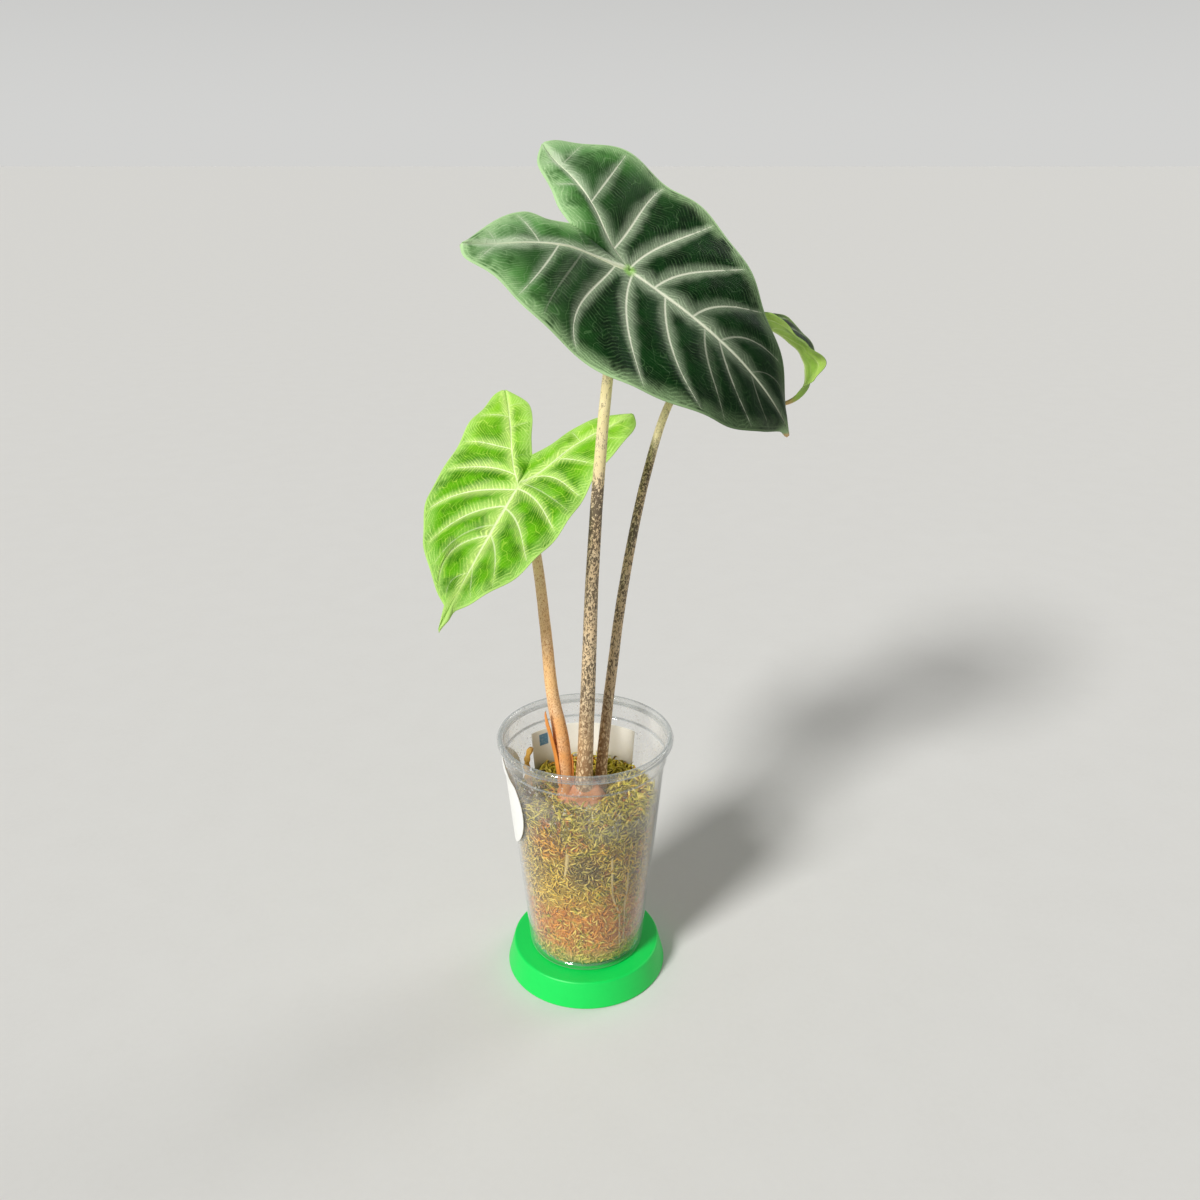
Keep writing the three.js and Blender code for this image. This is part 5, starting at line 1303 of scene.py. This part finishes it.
def thread_tree():
    """Geometry Nodes tree that lays threads over a surface, each with its own random pick for painted
    highlight and painted shade.
    """
    tree = bpy.data.node_groups.new("Moss threads", "GeometryNodeTree")
    for title, kind in (
            ("Surface", "Geometry"), ("Per square metre", "Float"), ("Length", "Float"), ("Tilt", "Float"),
            ("Seed", "Int"), ("Threads", "Collection"), ("Finish", "Material")):
        tree.interface.new_socket(title, in_out="INPUT", socket_type=f"NodeSocket{kind}")
    tree.interface.new_socket("Moss", in_out="OUTPUT", socket_type="NodeSocketGeometry")
    put = functools.partial(add_node, tree)
    given = tree.nodes.new("NodeGroupInput").outputs
    scatter = tree.nodes.new("GeometryNodeDistributePointsOnFaces")
    tree.links.new(given["Surface"], scatter.inputs["Mesh"])
    tree.links.new(given["Per square metre"], scatter.inputs["Density"])
    tree.links.new(given["Seed"], scatter.inputs["Seed"])
    spin, lean, size, tint = (
        put("FunctionNodeRandomValue", {"Min": low, "Max": high, "Seed": seed}, data_type="FLOAT")
        for low, high, seed in ((0.0, 2 * math.pi, 3), (-1.0, 1.0, 5), (0.35, 1.35, 8), (0.0, 1.0, 13)))
    lean = put(MATH, {0: lean, 1: given["Tilt"]}, **TIMES)
    turn = put("FunctionNodeAxisAngleToRotation", {"Axis": (0.0, 0.0, 1.0), "Angle": spin})
    tip = put("FunctionNodeAxisAngleToRotation", {"Axis": (0.0, 1.0, 0.0), "Angle": lean})
    turn = put("FunctionNodeRotateRotation", {"Rotation": turn, "Rotate By": tip}, rotation_space="LOCAL")
    turn = put("FunctionNodeRotateRotation", {"Rotation": scatter.outputs["Rotation"], "Rotate By": turn},
               rotation_space="LOCAL")
    size = put(MATH, {0: size, 1: given["Length"]}, **TIMES)
    shapes = put("GeometryNodeCollectionInfo", {"Collection": given["Threads"], "Separate Children": True,
                                                "Reset Children": True})
    laid = put("GeometryNodeInstanceOnPoints", {
        "Points": scatter.outputs["Points"], "Instance": shapes, "Pick Instance": True, "Rotation": turn,
        "Scale": size})
    laid = put("GeometryNodeStoreNamedAttribute", {"Geometry": laid, "Name": "tint", "Value": tint},
               domain="INSTANCE", data_type="FLOAT")
    laid = put("GeometryNodeRealizeInstances", {"Geometry": laid})
    laid = put("GeometryNodeSetMaterial", {"Geometry": laid, "Material": given["Finish"]})
    tree.links.new(laid, tree.nodes.new("NodeGroupOutput").inputs["Moss"])
    return tree


def laid_threads(name, surface, tree, shelf, per_metre, length, tilt, seed):
    """The threads that the tree lays on a surface, as a plain mesh."""
    modifier = surface.modifiers.new("threads", "NODES")
    modifier.node_group = tree
    values = {"Per square metre": per_metre, "Length": length, "Tilt": tilt, "Seed": seed, "Threads": shelf,
              "Finish": moss_thread}
    for item in tree.interface.items_tree:
        if item.in_out == "INPUT" and item.name in values:
            modifier[item.identifier] = values[item.name]
    surface.update_tag()
    graph = bpy.context.evaluated_depsgraph_get()
    mesh = bpy.data.meshes.new_from_object(surface.evaluated_get(graph))
    surface.modifiers.remove(modifier)
    mesh.name = name
    piece = bpy.data.objects.new(name, mesh)
    bpy.context.scene.collection.objects.link(piece)
    return piece


def helper_surface(name, rings):
    """An open surface through rings, removed once the threads are laid."""
    return new_piece(name, np.vstack(rings), ring_walls(len(rings), len(rings[0])), [moss_ground])


def side_surface():
    """The moss's side, 1.5 mm inside the wall, for threads to lie on."""
    angle, rings = full_turn(120), []
    for share in np.linspace(0, 1, 50):
        wall = cup_inner(CUP_FLOOR + share * (MOSS_LEVEL - CUP_FLOOR)) - 1.4
        z = CUP_FLOOR + 1 + share * (moss_top(wall * np.cos(angle), wall * np.sin(angle)) - CUP_FLOOR - 2)
        rings.append(at_turn(cup_inner(z) - 1.5, angle, z))
    return helper_surface("side_helper", rings)


def top_surface():
    """The moss's top, for threads to lie on."""
    angle, rings = full_turn(96), []
    for radius in np.linspace(cup_inner(MOSS_LEVEL) - 2.4, 1, 30):
        x, y = radius * np.cos(angle), radius * np.sin(angle)
        rings.append(np.stack([x, y, moss_top(x, y) - 0.5], 1))
    return helper_surface("top_helper", rings)


# How far threads stay off the card: its face and its foot in millimetres, and its sides in degrees
OFF_FACE, OFF_FOOT, OFF_SIDES = 0.2, 0.5, 1


def keep_inside(piece):
    """Presses threads flat against the cup's wall, above its floor and off the card."""
    mesh = piece.data
    places = np.empty(len(mesh.vertices) * 3, np.float32)
    mesh.vertices.foreach_get("co", places)
    places = places.reshape(-1, 3) / MM
    radius = np.hypot(places[:, 0], places[:, 1])
    limit = cup_inner(places[:, 2]) - SEAT_GAP
    angle = np.degrees(np.arctan2(places[:, 1], places[:, 0])) % 360
    behind = np.abs(angle - CARD_ANGLE) < CARD_SPAN / 2 + OFF_SIDES
    card = behind & (places[:, 2] > CARD_TOP - CARD_HEIGHT - OFF_FOOT)
    limit = np.where(card, limit - CARD_THICKNESS - OFF_FACE, limit)
    squeeze = np.minimum(1, limit / np.maximum(radius, 1e-6))
    places[:, :2] *= squeeze[:, None]
    places[:, 2] = np.maximum(places[:, 2], CUP_FLOOR + SEAT_GAP)
    mesh.vertices.foreach_set("co", (places * MM).astype(np.float32).ravel())
    mesh.update()


# Threads per square metre, their length, how far they tilt in radians, and the seed they are drawn from
SIDE_THREADS = (370000.0, 4.8 * MM, 0.4, 11)
TOP_THREADS = (420000.0, 7.0 * MM, 0.9, 12)
shelf = thread_shapes()
tree = thread_tree()
side_helper, top_helper = side_surface(), top_surface()
side_threads = laid_threads("moss_threads_side", side_helper, tree, shelf, *SIDE_THREADS)
top_threads = laid_threads("moss_threads_top", top_helper, tree, shelf, *TOP_THREADS)
for helper in (side_helper, top_helper):
    bpy.data.objects.remove(helper)
for shape in list(shelf.objects):
    bpy.data.objects.remove(shape)
bpy.data.collections.remove(shelf)
keep_inside(side_threads)
keep_inside(top_threads)


# Roots pressed against the wall
def root_strand(line, radius):
    """Points and faces of one root, half as thick at its end."""
    turn, z = np.array(line, float).T
    points = at_turn(cup_inner(z) - SEAT_GAP - radius, np.radians(turn), z)
    return tube(space_curve(points, STRAND_STEPS), radius * (1 - 0.5 * STRAND_SHARE), 8, 0.05, z[0])


# Each root is a line of (angle, height) with its radius at the start
ROOTS = [
    ([(-67.5, 92.9), (-66.5, 80), (-65, 65.8), (-61, 58), (-56.9, 51.1), (-55, 38), (-53, 26)], 0.75),
    ([(-50.3, 77.7), (-50.0, 66), (-51.2, 55.8), (-49.5, 40), (-48.9, 24.4)], 0.65),
    ([(-103.5, 95.9), (-105, 88), (-107.7, 78.2)], 1.5),
    ([(20, 90), (24, 70), (21, 48), (26, 30)], 0.7),
    ([(150, 84), (146, 60), (149, 40), (145, 27)], 0.7),
    ([(-150, 70), (-146, 52), (-149, 34)], 0.6),
    ([(82, 80), (86, 58), (83, 36)], 0.7),
]
root_points, root_faces = np.empty((0, 3)), []
for line, radius in ROOTS:
    points, faces = root_strand(line, radius)
    root_faces += [tuple(v + len(root_points) for v in face) for face in faces]
    root_points = np.vstack([root_points, points])
roots_piece = new_piece("roots_at_wall", root_points, root_faces, [root_skin])

# Each piece, the imported part it stands for and the name of its finish's slot, which nothing here uses. The
# piece hangs from the root body and the part is hidden
for piece, node, slot in (
        (stand_piece, "stand", "stand"), (cup_piece, "cup", "cup"), (moss_piece, "moss", "moss"),
        (crown_piece, "crown", "crown"), (petiole_big, "petiole_big", "petiole"),
        (petiole_back, "petiole_back", "petiole"), (petiole_young, "petiole_young", "young_petiole"),
        (sheath_piece, "sheath", "sheath"), (blade_big, "blade_big", "dark_blade"),
        (blade_back, "blade_back", "dark_blade"), (blade_young, "blade_young", "young_blade"),
        (card_piece, "label_card", "card"), (sticker_piece, "side_sticker", "sticker"),
        (stalk_piece, "dried_stalk", "straw")):
    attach(piece, "root")
    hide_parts(node)
for piece, slot in ((side_threads, "moss"), (top_threads, "moss"), (roots_piece, "moss")):
    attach(piece, "root")

# Floor: plain pale matt paint, seen as an even tone, wide enough to reach the horizon
floor_finish = plain_finish("pale_floor_matt", PAINT_IOR, 0.85, "#DDDCD8", "#D2D0CB", 4.0, 0.6, 0.05,
                            Specular_IOR_Level=0.2)
FLOOR_REACH, FLOOR_LEVEL = 30000, -0.2
corners = [(x * FLOOR_REACH, y * FLOOR_REACH, FLOOR_LEVEL) for x, y in ((-1, -1), (1, -1), (1, 1), (-1, 1))]
floor = new_piece("floor", corners, [(0, 1, 2, 3)], [floor_finish])


# Light: a wide soft key from the front left, a weak one from the back right, and a pale room that is
# brightest at the horizon
def soft_light(name, aim, power, width):
    """A far lamp that shines along `aim` and looks `width` degrees wide."""
    data = bpy.data.lights.new(name, "SUN")
    data.energy = power
    data.angle = math.radians(width)
    lamp = bpy.data.objects.new(name, data)
    flat = math.hypot(aim[0], aim[1])
    lamp.rotation_euler = (math.atan2(flat, -aim[2]), 0, math.atan2(aim[1], aim[0]) - math.pi / 2)
    bpy.context.scene.collection.objects.link(lamp)


HORIZON, ZENITH, FRONT_SHARE = 0.668, 0.3, 0.6
soft_light("key", (0.62, 0.75, -0.72), 3.3, 14)
soft_light("rim", (-0.7, -0.5, -0.6), 0.5, 24)
world = bpy.data.worlds.new("room")
world.use_nodes = True
put = functools.partial(add_node, world.node_tree)
towards = put("ShaderNodeTexCoord", output="Generated")
sky = put(SPLIT, {0: towards}, output=2)
sky = put(MAP, {0: sky, **range_of(0.0, 0.45, HORIZON, ZENITH)}, **SMOOTH)
front = put(SPLIT, {0: towards}, output=1)
front = put(MAP, {0: front, **range_of(0.5, -0.2, 1.0, FRONT_SHARE)}, **SMOOTH)
sky = put(MATH, {0: sky, 1: front}, **TIMES)
background = world.node_tree.nodes["Background"]
background.inputs["Color"].default_value = linear("#FCFCFA")
world.node_tree.links.new(sky, background.inputs["Strength"])
bpy.context.scene.world = world
bpy.context.scene.view_settings.view_transform = "Standard"

# Camera, at the photograph's angle
camera = bpy.data.cameras.new("camera")
camera.sensor_width = 36
camera.lens = 33.27
view = bpy.data.objects.new("camera", camera)
view.location = (0.008, -0.5251, 0.4389)
view.rotation_euler = (math.radians(67.82), 0, 0)
bpy.context.scene.collection.objects.link(view)
bpy.context.scene.camera = view
